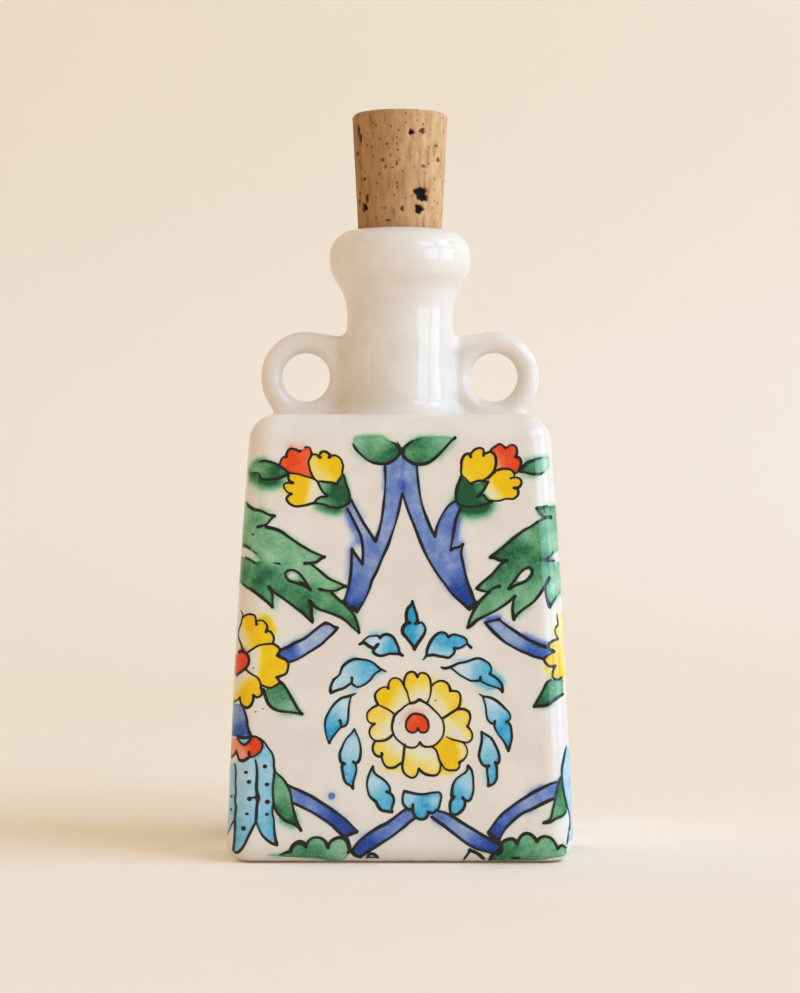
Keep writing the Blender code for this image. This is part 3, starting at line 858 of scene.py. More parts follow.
wash("blue", "528,790 540,785", reach=3.5, strength=0.5)
wash("blue", "528,813 534,810", reach=3, strength=0.4)
wash("blue", "356,838 366,831", reach=3, strength=0.35)
wash("blue", "432,822 440,826", reach=3, strength=0.4)
fill("blue", """
    335,795.5 333.9,798.1 331.3,799.2 328.7,798.1 327.6,795.5 328.7,792.9 331.3,791.8 333.9,792.9 335,795.5
    """)

# The bushes along the bottom
shape("green", """
    279,855 284,852.5 290.5,851 cusp 291,847 294,843.5 299,841 303,842 305.5,846 cusp 307,842 311,838
    317,837 322,838.5 325.5,842 327.5,847 cusp 330,841.5 335,838 340,837 345,839.5 347.5,844 349,850 bare
    347,856 310,857 270,856
    """, width=3, start=0.4, deep=(310, 854), pale=(338, 843), tone=(0.74, 0.42))
line("290,850 292.5,845.5 297,842.5 303,844", width=3.6, start=1, end=1)
shape("green", """
    489.5,860 490.5,856 494,853 499,850 cusp 499.5,846 502,841.5 507,839 512,838.5 517,843 cusp 520,836.5
    525,833 531,834.5 536.5,841 cusp 539.5,837.5 544,836 550,837.5 554,841.5 557.5,848 cusp 561,845
    566,847.5 bare 566,853 550,858 520,860
    """, width=3, end=0.5, deep=(500, 853), pale=(548, 843), tone=(0.8, 0.5))
line("489.5,859 491.5,855", width=4, start=1, end=1)
line("512,857.5 519,857.5", width=3.4, start=1, end=0.8)
line("366.5,857.5 370,853.5 373.5,854 377.5,857.5", width=3.6)
line("368,857 375,857", width=3)
line("463.5,859 466.5,855 469.5,850 cusp 474,851.5 479,854.5 483.5,859", width=3.6, end=0.9)
shade(517, 848, 5, 0.2)
wash("green", "268,854 280,855", reach=3, strength=0.35)
wash("green", "562,831 563,842", reach=2.5, strength=0.35)

# The rosette
line("""
    409.5,703 405.5,705 401,709 396.5,712.5 394,715.5 392.5,720.5 391.5,725.5 392,730.5 393.5,734.5
    396.5,739 401.5,743 404.5,745.5 408.5,747 412,747.5 416.5,746 419.5,742 cusp 422.5,745.5 426.5,746.5
    431.5,746 435.5,744 439.5,740 442.5,735.5 443.5,730.5 443.5,724.5 442,719.5 438.5,714.5 433.5,709.5
    427.5,704 422.5,701 418.5,699 cusp 415.5,701.5 409.5,703
    """, width=2.3, start=1, end=1)
shape("red", """
    405.5,723.5 406,721 408.5,717 412.5,713.5 417.5,713.5 422.5,715 426,718 428,722.5 428,727.5 426.5,731
    422.5,732.5 419,731 417.5,728 cusp 415.5,731.5 412.5,732.5 408,731 405.5,727 405.5,723.5
    """, width=2.2, deep=(419, 725), pale=(408, 718), tone=(0.95, 0.7))
shape("yellow", """
    409.5,702 408,696.5 406.5,691 404.5,687.5 403.5,682.5 404.5,677.5 406,674 409.5,671.5 413,671.5
    415.5,673.5 417,676.5 cusp 419.5,673 423.5,672.5 427,674.5 429.5,678.5 430.5,684.5 430.5,690.5
    429.5,696.5 427,702 bare 418.5,699
    """, deep=(412, 681), pale=(419, 698), tone=(0.78, 0.12))
shape("yellow", """
    431.5,685 434.5,682.5 438.5,680.5 442.5,680.5 446.5,682.5 449,686 450,690.5 cusp 454,690.5 458,691.5
    460,695.5 460,700.5 459,705.5 457.5,708.5 cusp 451.5,712 445.5,716 442,718 bare 433.5,709.5 427,702
    430.5,690.5
    """, deep=(448, 698), pale=(436, 706), tone=(0.7, 0.05))
shape("yellow", """
    458.5,709 461.5,708.5 465.5,709.5 468.5,711.5 470,716.5 469,721.5 467,726 cusp 470,729.5 472,734.5
    471,739.5 467.5,742 461.5,741.5 455.5,740 450.5,738.5 446,736.5 bare 443.5,730.5 443.5,724.5 442,718
    """, end=0.5, deep=(457, 717), pale=(448, 729), tone=(0.65, 0))
shape("yellow", """
    462.5,742 465.5,745.5 467,750.5 466,755.5 463.5,759 459,762 cusp 459,766.5 456.5,769.5 451.5,770
    446.5,769.5 443,766.5 440.5,762 438.5,758.5 bare 437.5,754.5 432.5,747 439.5,740 446,736.5 455.5,740
    """, deep=(454, 755), pale=(464, 753), tone=(1, 0.25))
shape("yellow", """
    404.5,744 403.5,751.5 403,757.5 402,763.5 402,768.5 404.5,773.5 408.5,776.5 412.5,777.5 415.5,776
    417.5,771.5 418.5,768.5 cusp 421.5,771.5 425.5,774 430.5,775 435.5,775 438.5,772.5 440,767.5 440,762.5
    439,760.5 437.5,754.5 435.5,749.5 432.5,747 bare 419.5,743.5 412,747.5
    """, deep=(414, 769), pale=(421, 750), tone=(0.62, 0.05))
shape("yellow", """
    374.5,741 372.5,745.5 372.5,750.5 374.5,754 377.5,756 381,756 381.5,753 hop 381,756 382,759.5
    383.5,763.5 387,767 391.5,767.5 395.5,766.5 398.5,764 401.5,762.5 bare 403.5,751.5 404.5,743.5 396.5,739
    392,734.5 385.5,739.5
    """, deep=(386, 757), pale=(397, 745), tone=(0.62, 0.05))
shape("yellow", """
    378,704.5 374.5,706 370.5,708.5 367,712.5 366.5,717.5 369.5,722.5 374,723.5 cusp 369.5,728.5 369,733.5
    371.5,738 375.5,740.5 380.5,740.5 385.5,739.5 389.5,737 392,734.5 bare 391.5,725.5 394,714.5 388.5,709.5
    """, deep=(376, 716), pale=(389, 726), tone=(0.6, 0.12))
line("378,704.5 383.5,707 388.5,709.5 394,714", end=1)
shape("yellow", """
    378,704.5 375,698.5 374.5,694.5 377,690.5 381,687.5 385.5,686.5 388,688 cusp 388,683.5 390,679.5
    393.5,677.5 397.5,678 401,680.5 403,684.5 bare 404.5,687.5 408,696.5 409.5,703 401,709 394,714
    388.5,709.5
    """, deep=(388, 694), pale=(401, 704), tone=(0.9, 0.15))
wash("red", "406,716 413,708 421,710", reach=5, strength=0.3)
wash("yellow", "431,678 436,676", reach=3, strength=0.5)
wash("yellow", "462,702 465,706", reach=3, strength=0.5)
wash("yellow", "442,770 449,773", reach=4, strength=0.7)
wash("yellow", "384,770 398,770", reach=4, strength=0.5)

# The ring of small leaves around the rosette
shape("sky", """
    412,601 411,604 407.5,608 406,613 406,617.5 407,622 409,622.5 hop 407,622.5 404,625 402,629 402.5,633
    405,636 409,641 412.5,645.5 414,648.5 cusp 417,643.5 421,638 424,633 425,628 423.5,624.5 421.5,622
    418.5,622.5 415.5,623 hop 417.5,622 417,619 416,613.5 414.5,609 412,601
    """, width=3.2, deep=(411, 632), pale=(421, 632), tone=(1, 0.5))
shape("sky", """
    359,644 362.5,641 364,639.5 367.5,636.5 373,635.5 378,635.5 379.5,637.5 cusp 383,634.5 388,634
    392.5,636.5 395.5,641.5 398,647 399,651.5 402,655 cusp 398,653.5 393,653.5 388,653.5 384,655 380,655.5
    375.5,654 373,652 373,649.5 375,647 377.5,644 hop 373,648 368,645.5 364,642.5 359,644
    """, width=2.7, start=0.8, deep=(391, 648), pale=(371, 640), tone=(0.8, 0.1))
shape("sky", """
    422.5,659.5 426,655 426.5,650 428.5,644.5 431.5,639 435,635 438.5,632.5 443.5,632 446,633.5 448,636.5
    cusp 453,634 458,635 462.5,636.5 466,639 467,643 470.5,647 cusp 465.5,644 461.5,647 458,648 454,648 cusp
    454,652.5 452,654.5 448,657.5 443.5,656.5 439,656 433.5,654.5 429,655 426,655
    """, width=2.7, start=0.5, deep=(446, 642), pale=(442, 655), tone=(0.85, 0.4))
shape("sky", """
    385.5,671 380,668.5 375.5,664.5 370.5,661 365.5,659.5 361,659 355,658.5 350.5,660 345.5,663 342,666.5
    340.5,670.5 339,674.5 336,677 333,679.5 cusp 331,684 330,688 330.5,692.5 cusp 338,689.5 343,688
    347.5,685 351,682.5 351.5,677.5 hop 351,682.5 353,684.5 356,686.5 361.5,685.5 366.5,682.5 370.5,679
    373,675 376.5,672 380,670
    """, width=2.5, start=0.6, deep=(369, 673), pale=(345, 680), tone=(0.75, 0.3))
shape("sky", """
    441,667 444,668 449,667 452.5,665.5 458,663 465.5,661.5 471,659.5 476,658 481,658.5 485.5,661 489.5,664
    491,668 489.5,673.5 cusp 494.5,676.5 499,680.5 501.5,684.5 502,688 502,691.5 cusp 498,688 493.5,686.5
    488,684.5 483.5,682.5 480,680 480,677 hop 480,680 474.5,680.5 470.5,680.5 465.5,678 460,675 455.5,671.5
    451,668 449,667
    """, width=2.5, start=0.9, deep=(485, 674), pale=(460, 668), tone=(0.8, 0.1))
line("442.5,667.5 449,667.5", width=3)
shape("sky", """
    355.5,693 350.5,695 347.5,696 341.5,697.5 336.5,701 331.5,706.5 328,712.5 325.5,717.5 324.5,724
    325,730.5 326.5,737.5 329,742.5 cusp 331,738.5 334,734.5 337.5,730 340.5,726.5 339.5,720 hop 340.5,726.5
    345.5,725 347.5,720.5 348,714 348.5,706 349.5,700.5 350.5,696
    """, width=2.4, start=0.5, deep=(330, 727), pale=(345, 706), tone=(0.9, 0.2))
shape("sky", """
    479,693.5 482.5,696 487.5,696.5 494,699 500,703.5 505,708.5 509.5,713.5 510,718.5 506,721.5 hop
    507.5,722 509.5,724 511,730.5 511.5,737.5 510,744 508,750.5 cusp 506,746 503,740.5 498.5,735 495.5,730
    494,726 494.5,721 hop 494,724 491,723 488,720.5 486,714 485.5,708.5 484.5,703 482.5,697
    """, width=2.4, start=0.6, deep=(505, 730), pale=(488, 703), tone=(0.9, 0.2))
shape("sky", """
    354,729 351.5,732.5 346.5,737.5 343.5,742.5 341.5,747.5 339.5,752 339.5,757.5 340.5,761.5 344,763.5 hop
    342,763.5 341.5,767.5 342.5,773 343.5,778.5 346,783 350.5,785.5 352.5,788 cusp 353,781.5 354.5,776
    356,770.5 355.5,765 353,761.5 hop 355.5,763 358.5,760.5 360,755 360.5,749.5 359.5,743 358,737.5
    355.5,732.5 354,729
    """, width=2.6, deep=(348, 772), pale=(351, 742), tone=(0.72, 0.3))
shape("sky", """
    481,731.5 481.5,737.5 481,743 479.5,749.5 478.5,755 480,760.5 483.5,765.5 488.5,765.5 hop 486.5,767
    486.5,770.5 487.5,777.5 488,783 488,785.5 cusp 493,783.5 496,779 496.5,773 496.5,767.5 495,762 hop
    496,764 498.5,761.5 499,756 497.5,750.5 494.5,744 491,738 486,734.5 481,731.5
    """, width=2.6, deep=(490, 766), pale=(487, 742), tone=(0.82, 0.42))
shape("sky", """
    372.5,766 370,771 367.5,777.5 366.5,784 367.5,790.5 369,795.5 373,799.5 375.5,801.5 377.5,805.5
    380.5,809.5 386,811 391.5,811.5 cusp 391.5,807.5 393.5,801.5 393,796.5 390,793 386.5,791.5 hop 389.5,791
    389.5,787.5 386.5,782.5 381.5,778 376,774.5 373.5,771.5 372.5,766
    """, width=2.7, deep=(384, 798), pale=(371, 778), tone=(0.8, 0.15))
shape("sky", """
    467.5,765 471,769.5 472.5,776 473,783 473,789.5 471.5,796 469.5,800 465.5,800.5 462.5,797.5 hop
    464.5,800 464.5,805 461.5,810.5 456.5,814 451,814 449.5,808.5 450,801.5 453.5,796.5 hop 451.5,797
    451.5,790.5 452.5,785 455,779.5 460.5,775 466,771 467.5,765
    """, width=2.8, deep=(456, 804), pale=(466, 776), tone=(0.82, 0.38))
shape("sky", """
    404,790.5 407,791.5 411,792.5 416,793.5 420.5,794 425.5,793.5 430.5,792.5 435,792 439,792 441,795
    440.5,799 439.5,803 438.5,807.5 435.5,810.5 431,813 427.5,811.5 hop 428,813 427,816 424,818.5 420.5,819
    417,818 414.5,815.5 413,812.5 412.5,804.5 hop 412,808.5 410.5,809 407.5,809 405,806.5 402.5,803 402,799
    402.5,795 404,790.5
    """, width=2.7, deep=(422, 806), pale=(406, 799), tone=(0.95, 0.3))
line("412.5,805.5 412.5,812", width=3.6)
shade(426.5, 804.5, 2, 0.4)
shade(435, 801, 7, -0.55)
wash("sky", "371,631 382,630", reach=3.5, strength=0.5)
wash("sky", "366,648 371,654", reach=3, strength=0.4)
wash("sky", "342,659 352,656", reach=3, strength=0.5)
wash("sky", "374,678 382,673", reach=3, strength=0.5)
wash("sky", "350,690 354,688", reach=3, strength=0.5)
wash("sky", "455,660 464,657", reach=3.5, strength=0.45)
wash("sky", "478,684 490,689", reach=4, strength=0.6)
wash("sky", "495,673 503,681", reach=4, strength=0.6)
wash("sky", "483,703 482,712", reach=2.5, strength=0.4)
wash("sky", "484,772 485,782", reach=3, strength=0.5)

# Laying the pattern on the glaze
face_distance = camera_distance - 0.5 * (base_half + shoulder_half)
pixel_size = face_distance / focal_pixels
# The pattern's numbers were read this much too far to the left and too high
reading_shift = 0.4
corner_reach = 4.2 * mm
# On the other sides the painting is drawn in, from this far off the middle and by these amounts up the side
squeeze_from = 12 * mm
squeeze_heights = (28 * mm, 33 * mm, 50 * mm, 58 * mm)
squeeze_amounts = (6.5 * mm, 9.1 * mm, 9.1 * mm, 0)
hand_wobble = 0.35 * mm
wobble_lengths = (11 * mm, 9 * mm)
line_edge_lift = 0.004 * mm
line_middle_lift = 0.014 * mm
line_step = 0.4 * mm
line_taper = 1.4 * mm
# The brush presses harder and softer along a line, in a short wave and a long one: length and amount
short_wave = (1.3 * mm, 0.2)
long_wave = (3.1 * mm, 0.18)
piece_end = 1.2
# How far the colours of the shapes, and the black of the lines, are worked out around them
far_off = 4 * mm
ink_reach = 1.5 * mm
plain_tone = 0.7
# Only the outer skin below this height is painted, and only as deep as this
paint_top = 0.995 * body_height
paint_depth = 0.5 * mm
# A wash is wider and stronger than its numbers say, and fades off over its line
wash_spread = 1.6
wash_gain = 1.3
wash_fade = 1.15
wash_end = 2.5
# The steps of a ray on its way to the body: how many, their share of the gap, and the least one
cast_steps = 60
cast_share = 0.9
cast_least = 0.02 * mm
cast_arrived = 0.05 * mm
# The leaf, the flower and the bell that lie across two sides' meeting behind a corner each get a middle line
seam_spans = ((78 * mm, 60 * mm), (55 * mm, 36 * mm), (26 * mm, 6 * mm))
seam_width = 2.3
seam_gap = 0.45 * mm
seam_wave = 0.2 * mm
seam_wave_length = 1.7 * mm
pigments = ["green", "blue", "yellow", "red", "sky"]
hand = np.random.default_rng(7)


def reach_at(z):
    """How far a side laid flat goes from its middle to the middle of its rounded corner."""
    return half_width(z) - upright_radius * (1 - math.pi / 4)


def cast(pixels):
    """Where the camera's rays through these pixels meet the body. Those that miss go to its outline."""
    pixels = pixels + reading_shift
    across = (pixels[:, 0] - axis_column) / focal_pixels
    down = (eye_row - pixels[:, 1]) / focal_pixels
    way = np.stack([across, np.ones(len(pixels)), down], -1)
    way /= np.linalg.norm(way, axis=-1, keepdims=True)
    eye = np.array([0, -camera_distance, camera_height])
    far = np.full(len(pixels), camera_distance - 2 * base_half)
    best = far.copy()
    least = np.full(len(pixels), 1.0)
    for _ in range(cast_steps):
        gap = column(eye + far[:, None] * way)
        best = np.where(gap < least, far, best)
        least = np.minimum(gap, least)
        far = far + cast_share * np.maximum(gap, cast_least * (least > cast_arrived))
    return onto(column, eye + best[:, None] * way)


def unroll(p):
    """Points of the body laid flat: which side they are on, how far across it and how far up."""
    z = p[:, 2]
    half = half_width(z)
    side, across, angle = square_place(p[:, 0], p[:, 1], half, upright_radius)
    centre = half - upright_radius
    bend = np.where(np.isnan(angle), 0, angle)
    s = np.where(np.isnan(angle), across * centre, centre + upright_radius * bend)
    past = bend > math.pi / 4
    side = np.where(past, (side + 1) % 4, side)
    s = np.where(past, -centre - upright_radius * (math.pi / 2 - bend), s)
    over = np.clip((z - body_height + shoulder_edge) / shoulder_edge, 0, 1)
    under = np.clip((foot_edge - z) / foot_edge, 0, 1)
    t = np.where(over > 0, body_height - shoulder_edge + shoulder_edge * np.arcsin(over), z)
    t = np.where(under > 0, foot_edge - foot_edge * np.arcsin(under), t)
    return side, s, t, reach_at(z)


def flat_place(pixels):
    """Pixels of the photograph as places on the front side laid flat, past its edges too."""
    side, s, t, middle = unroll(cast(np.array(pixels, float)))
    s = s + 2 * middle * ((side == 1).astype(float) - (side == 3))
    return np.stack([s, t], -1)


def flat_point(places, side):
    """Places on the flat, put back on one side of the body."""
    s, t = places.T
    top = np.clip((t - body_height + shoulder_edge) / shoulder_edge, 0, math.pi / 2)
    low = np.clip((foot_edge - t) / foot_edge, 0, math.pi / 2)
    z = np.where(top > 0, body_height - shoulder_edge * (1 - np.sin(top)), t)
    z = np.where(low > 0, foot_edge * (1 - np.sin(low)), z)
    centre = half_width(z) - upright_radius
    reach = upright_radius - shoulder_edge * (1 - np.cos(top)) - foot_edge * (1 - np.cos(low))
    bend = np.clip((np.abs(s) - centre) / upright_radius, 0, math.pi / 2)
    x = np.where(bend > 0, centre + reach * np.sin(bend), np.abs(s)) * np.sign(s)
    y = -centre - reach * np.cos(bend)
    cos, sin = ((1, 0), (0, 1), (-1, 0), (0, -1))[side]
    return onto(column, np.stack([cos * x - sin * y, sin * x + cos * y, z], -1), 2)


def moved(places, side):
    """Places of the front side's painting, moved to where they are on another side. It is narrower there."""
    s, t = places.T
    amount = np.interp(t, squeeze_heights, squeeze_amounts)
    amount = amount * np.clip((np.abs(s) - squeeze_from) / (reach_at(t) - squeeze_from), 0, 1)
    other = side != 0
    shift = amount * ((s < 0) * (side == 1) - 1.0 * (s > 0) * other)
    shift = shift + hand_wobble * other * np.sin(t / wobble_lengths[0] + 2 * side)
    rise = hand_wobble * other * np.sin(s / wobble_lengths[1] + 3 * side)
    return np.stack([s + shift, t + rise], -1)


def window(side, middle):
    """Where a side's painting ends at the left and at the right. The front side's goes round both corners."""
    left = -middle - corner_reach + 2 * corner_reach * (side == 1)
    right = middle - corner_reach + 2 * corner_reach * (side == 0)
    return left, right


def curve(points, step=1.5, sharp=85 * degree):
    """A smooth path through the points, in pieces that end where the path turns sharply."""
    points = np.array(points, float)
    gaps = np.diff(points, axis=0)
    lengths = np.linalg.norm(gaps, axis=1)
    units = gaps / lengths[:, None]
    turns = np.arccos(np.clip((units[1:] * units[:-1]).sum(1), -1, 1))
    breaks = [0, *(np.nonzero(turns > sharp)[0] + 1), len(points) - 1]
    pieces = []
    for first, last in zip(breaks[:-1], breaks[1:]):
        part = points[first : last + 1]
        size = lengths[first:last]
        unit = units[first:last]
        slope = np.concatenate([unit[:1], unit])
        if len(part) > 2:
            a, b = size[:-1, None], size[1:, None]
            slope[1:-1] = (unit[:-1] * b + unit[1:] * a) / (a + b)
            slope[0] = 1.5 * unit[0] - 0.5 * slope[1]
            slope[-1] = 1.5 * unit[-1] - 0.5 * slope[-2]
        path = []
        for i, d in enumerate(size):
            count = max(1, int(round(d / step)))
            u = (np.arange(count) / count)[:, None]
            path.append(
                (2 * u**3 - 3 * u**2 + 1) * part[i]
                + (u**3 - 2 * u**2 + u) * d * slope[i]
                + (3 * u**2 - 2 * u**3) * part[i + 1]
                + (u**3 - u**2) * d * slope[i + 1]
            )
        path.append(part[-1:])
        pieces.append(np.concatenate(path))
    return pieces


def ribbon(path, half, start, end):
    """One brush line laid flat, as rows of five points across it."""
    steps = np.linalg.norm(np.diff(path, axis=0), axis=1)
    path = path[np.concatenate([[True], steps > 1e-7])]
    along = np.concatenate([[0], np.cumsum(steps[steps > 1e-7])])
    length = along[-1]
    if length < 0.05 * mm:
        return None
    count = max(4, int(length / line_step) + 1)
    cap = np.array([0.06, 0.3, 0.65, 1.0])
    bulge = np.sqrt(np.maximum(1 - cap**2, 0))
    front, back = half * start, half * end
    between = length * np.arange(1, count) / count
    places = np.concatenate([-front * bulge, between, length + back * bulge[::-1]])
    centre = np.stack([np.interp(places, along, path[:, k]) for k in (0, 1)], -1)
    head = (path[1] - path[0]) / along[1]
    tail = (path[-1] - path[-2]) / (along[-1] - along[-2])
    centre += np.minimum(places, 0)[:, None] * head + np.maximum(places - length, 0)[:, None] * tail
    taper = min(line_taper, 0.5 * length)
    grow = 1 - (1 - start) * np.clip(1 - places / taper, 0, 1) ** 1.5
    grow *= 1 - (1 - end) * np.clip(1 - (length - places) / taper, 0, 1) ** 1.5
    wave = hand.uniform(-1, 1, 3)
    short = short_wave[1] * np.sin(places / short_wave[0] + 6 * wave[0]) * wave[1]
    long = long_wave[1] * np.sin(places / long_wave[0] + 6 * wave[2])
    grow *= 1 + short + long
    reach = half * grow
    reach[:4] = front * cap
    reach[-4:] = back * cap[::-1]
    way = np.gradient(centre, axis=0)
    across = np.stack([-way[:, 1], way[:, 0]], -1) / (np.linalg.norm(way, axis=1, keepdims=True) + 1e-12)
    return centre[:, None] + across[:, None] * (reach[:, None] * np.array([-1, -0.5, 0, 0.5, 1]))[..., None]


def make_lines():
    """The painted lines of all four sides, as thin raised strips."""
    all_points, all_faces = [], []
    count = 0
    rise = line_edge_lift + (line_middle_lift - line_edge_lift) * np.array([0, 0.75, 1, 0.75, 0])
    for side in range(4):
        paths = []
        for path, width, start, end in lines:
            pieces = curve(path)
            for number, piece in enumerate(pieces):
                first = start if number == 0 else piece_end
                last = end if number == len(pieces) - 1 else piece_end
                paths.append((moved(flat_place(piece), side), width, first, last))
        for top, bottom in seam_spans if side else ():
            t = np.linspace(top, bottom, 40)
            for edge, inward in zip(window(side, reach_at(t)), (1, -1)):
                if inward < 0 or side == 1:
                    s = edge + inward * seam_gap + seam_wave * np.sin(t / seam_wave_length + side)
                    paths.append((np.stack([s, t], -1), seam_width, 0.6, 0.6))
        points, lift, faces = [], [], []
        total = 0
        for path, width, first, last in paths:
            rows = ribbon(path, width * pixel_size / 2, first, last)
            if rows is None:
                continue
            n = len(rows)
            grid = total + np.arange(n * 5).reshape(n, 5)
            points.append(rows.reshape(-1, 2))
            lift.append(np.tile(rise, n))
            corners = [grid[:-1, :-1], grid[1:, :-1], grid[1:, 1:], grid[:-1, 1:]]
            faces.append(np.stack(corners, -1).reshape(-1, 4))
            total += n * 5
        points, lift, faces = np.concatenate(points), np.concatenate(lift), np.concatenate(faces)
        centre = points[faces].mean(1)
        left, right = window(side, reach_at(centre[:, 1]))
        faces = faces[(centre[:, 0] > left) & (centre[:, 0] < right)]
        used, faces = np.unique(faces, return_inverse=True)
        placed = flat_point(points[used], side)
        out = slope_at(column, placed)
        out /= np.linalg.norm(out, axis=-1, keepdims=True)
        all_points.append(placed + lift[used][:, None] * out)
        all_faces.append(count + faces.reshape(-1, 4))
        count += len(used)
    faces = np.concatenate(all_faces).tolist()
    return mesh_object("painted_lines", np.concatenate(all_points), faces, "bottle")


def path_distance(places, path):
    """How far each place is from the path."""
    a, b = path[:-1], path[1:]
    e = b - a
    w = places[:, None, :] - a[None]
    share = np.clip((w * e).sum(-1) / np.maximum((e * e).sum(-1), 1e-12), 0, 1)
    return np.linalg.norm(w - share[..., None] * e, axis=-1).min(1)


def polygon_distance(places, outline):
    """How far each place is from the outline, less than zero inside it."""
    a = outline
    b = np.roll(outline, -1, 0)
    e = b - a
    w = places[:, None, :] - a[None]
    up = (a[None, :, 1] <= places[:, None, 1]) != (b[None, :, 1] <= places[:, None, 1])
    turn = e[None, :, 0] * w[..., 1] - e[None, :, 1] * w[..., 0]
    inside = (up & ((turn > 0) == (e[None, :, 1] > 0))).sum(1) % 2 == 1
    gap = path_distance(places, np.concatenate([outline, outline[:1]]))
    return np.where(inside, -gap, gap)


def paint_fields(points):
    """For each point: how far the pigments' shapes and the lines are, the tone there, and the soft washes."""
    side, s, t, middle = unroll(points)
    there = np.nonzero((np.abs(column(points)) < paint_depth) & (t < paint_top))[0]
    side, s, t, middle = side[there], s[there], t[there], middle[there]
    left, right = window(side, middle)
    turn = (s > right).astype(int) - (s < left)
    side = (side + turn) % 4
    target = np.stack([s - 2 * middle * turn, t], -1)
    places = target.copy()
    for _ in range(8):
        places += target - moved(places, side)
    distance = np.full((len(points), 5), far_off)
    tone = np.full(len(points), plain_tone)
    closest = np.full(len(points), far_off)
    soft = np.zeros((len(points), 5))
    ink = np.full(len(points), far_off)

    def near_to(flat, margin):
        near = ((places > flat.min(0) - margin) & (places < flat.max(0) + margin)).all(1)
        return places[near], there[near]

    for colour, paths, deep, pale, tones in fills:
        pieces = [piece for path in paths if len(path) > 1 for piece in curve(path, 3.0)]
        flat = flat_place(np.concatenate(pieces))
        here, rows = near_to(flat, far_off)
        gap = polygon_distance(here, flat)
        kind = pigments.index(colour)
        distance[rows, kind] = np.minimum(distance[rows, kind], gap)
        level = tones[0]
        if deep:
            ends = flat_place([deep, pale])
            way = ends[1] - ends[0]
            share = np.clip(((here - ends[0]) @ way) / (way @ way), 0, 1)
            level = tones[0] + (tones[1] - tones[0]) * share * share * (3 - 2 * share)
        tone[rows] = np.where(gap < closest[rows], level, tone[rows])
        closest[rows] = np.minimum(closest[rows], gap)
    for outline in holes:
        flat = flat_place(outline)
        here, rows = near_to(flat, far_off)
        distance[rows] = np.maximum(distance[rows], -polygon_distance(here, flat)[:, None])
    for x, y, reach, amount in shades:
        flat = flat_place([(x, y)])
        here, rows = near_to(flat, 3 * reach * pixel_size)
        tone[rows] += amount * np.exp(-(((here - flat) ** 2).sum(1)) / (reach * pixel_size) ** 2)
    for colour, path, reach, strength in washes:
        flat = flat_place(path)
        size = wash_spread * reach * pixel_size
        here, rows = near_to(flat, wash_end * size)
        kind = pigments.index(colour)
        gap = path_distance(here, flat) / size
        out = wash_fade * np.maximum(distance[rows, kind], 0) / size
        level = wash_gain * strength * np.exp(-gap * gap - out**1.6)
        soft[rows, kind] = np.maximum(soft[rows, kind], level)
    for path, width, start, end in lines:
        flat = flat_place(path)
        here, rows = near_to(flat, ink_reach)
        ink[rows] = np.minimum(ink[rows], path_distance(here, flat) - width * pixel_size / 2)
    return distance, tone, soft, ink


def store(mesh, name, values):
    layer = mesh.attributes.new(name, "FLOAT_VECTOR", "POINT")
    layer.data.foreach_set("vector", np.asarray(values, np.float32).ravel())


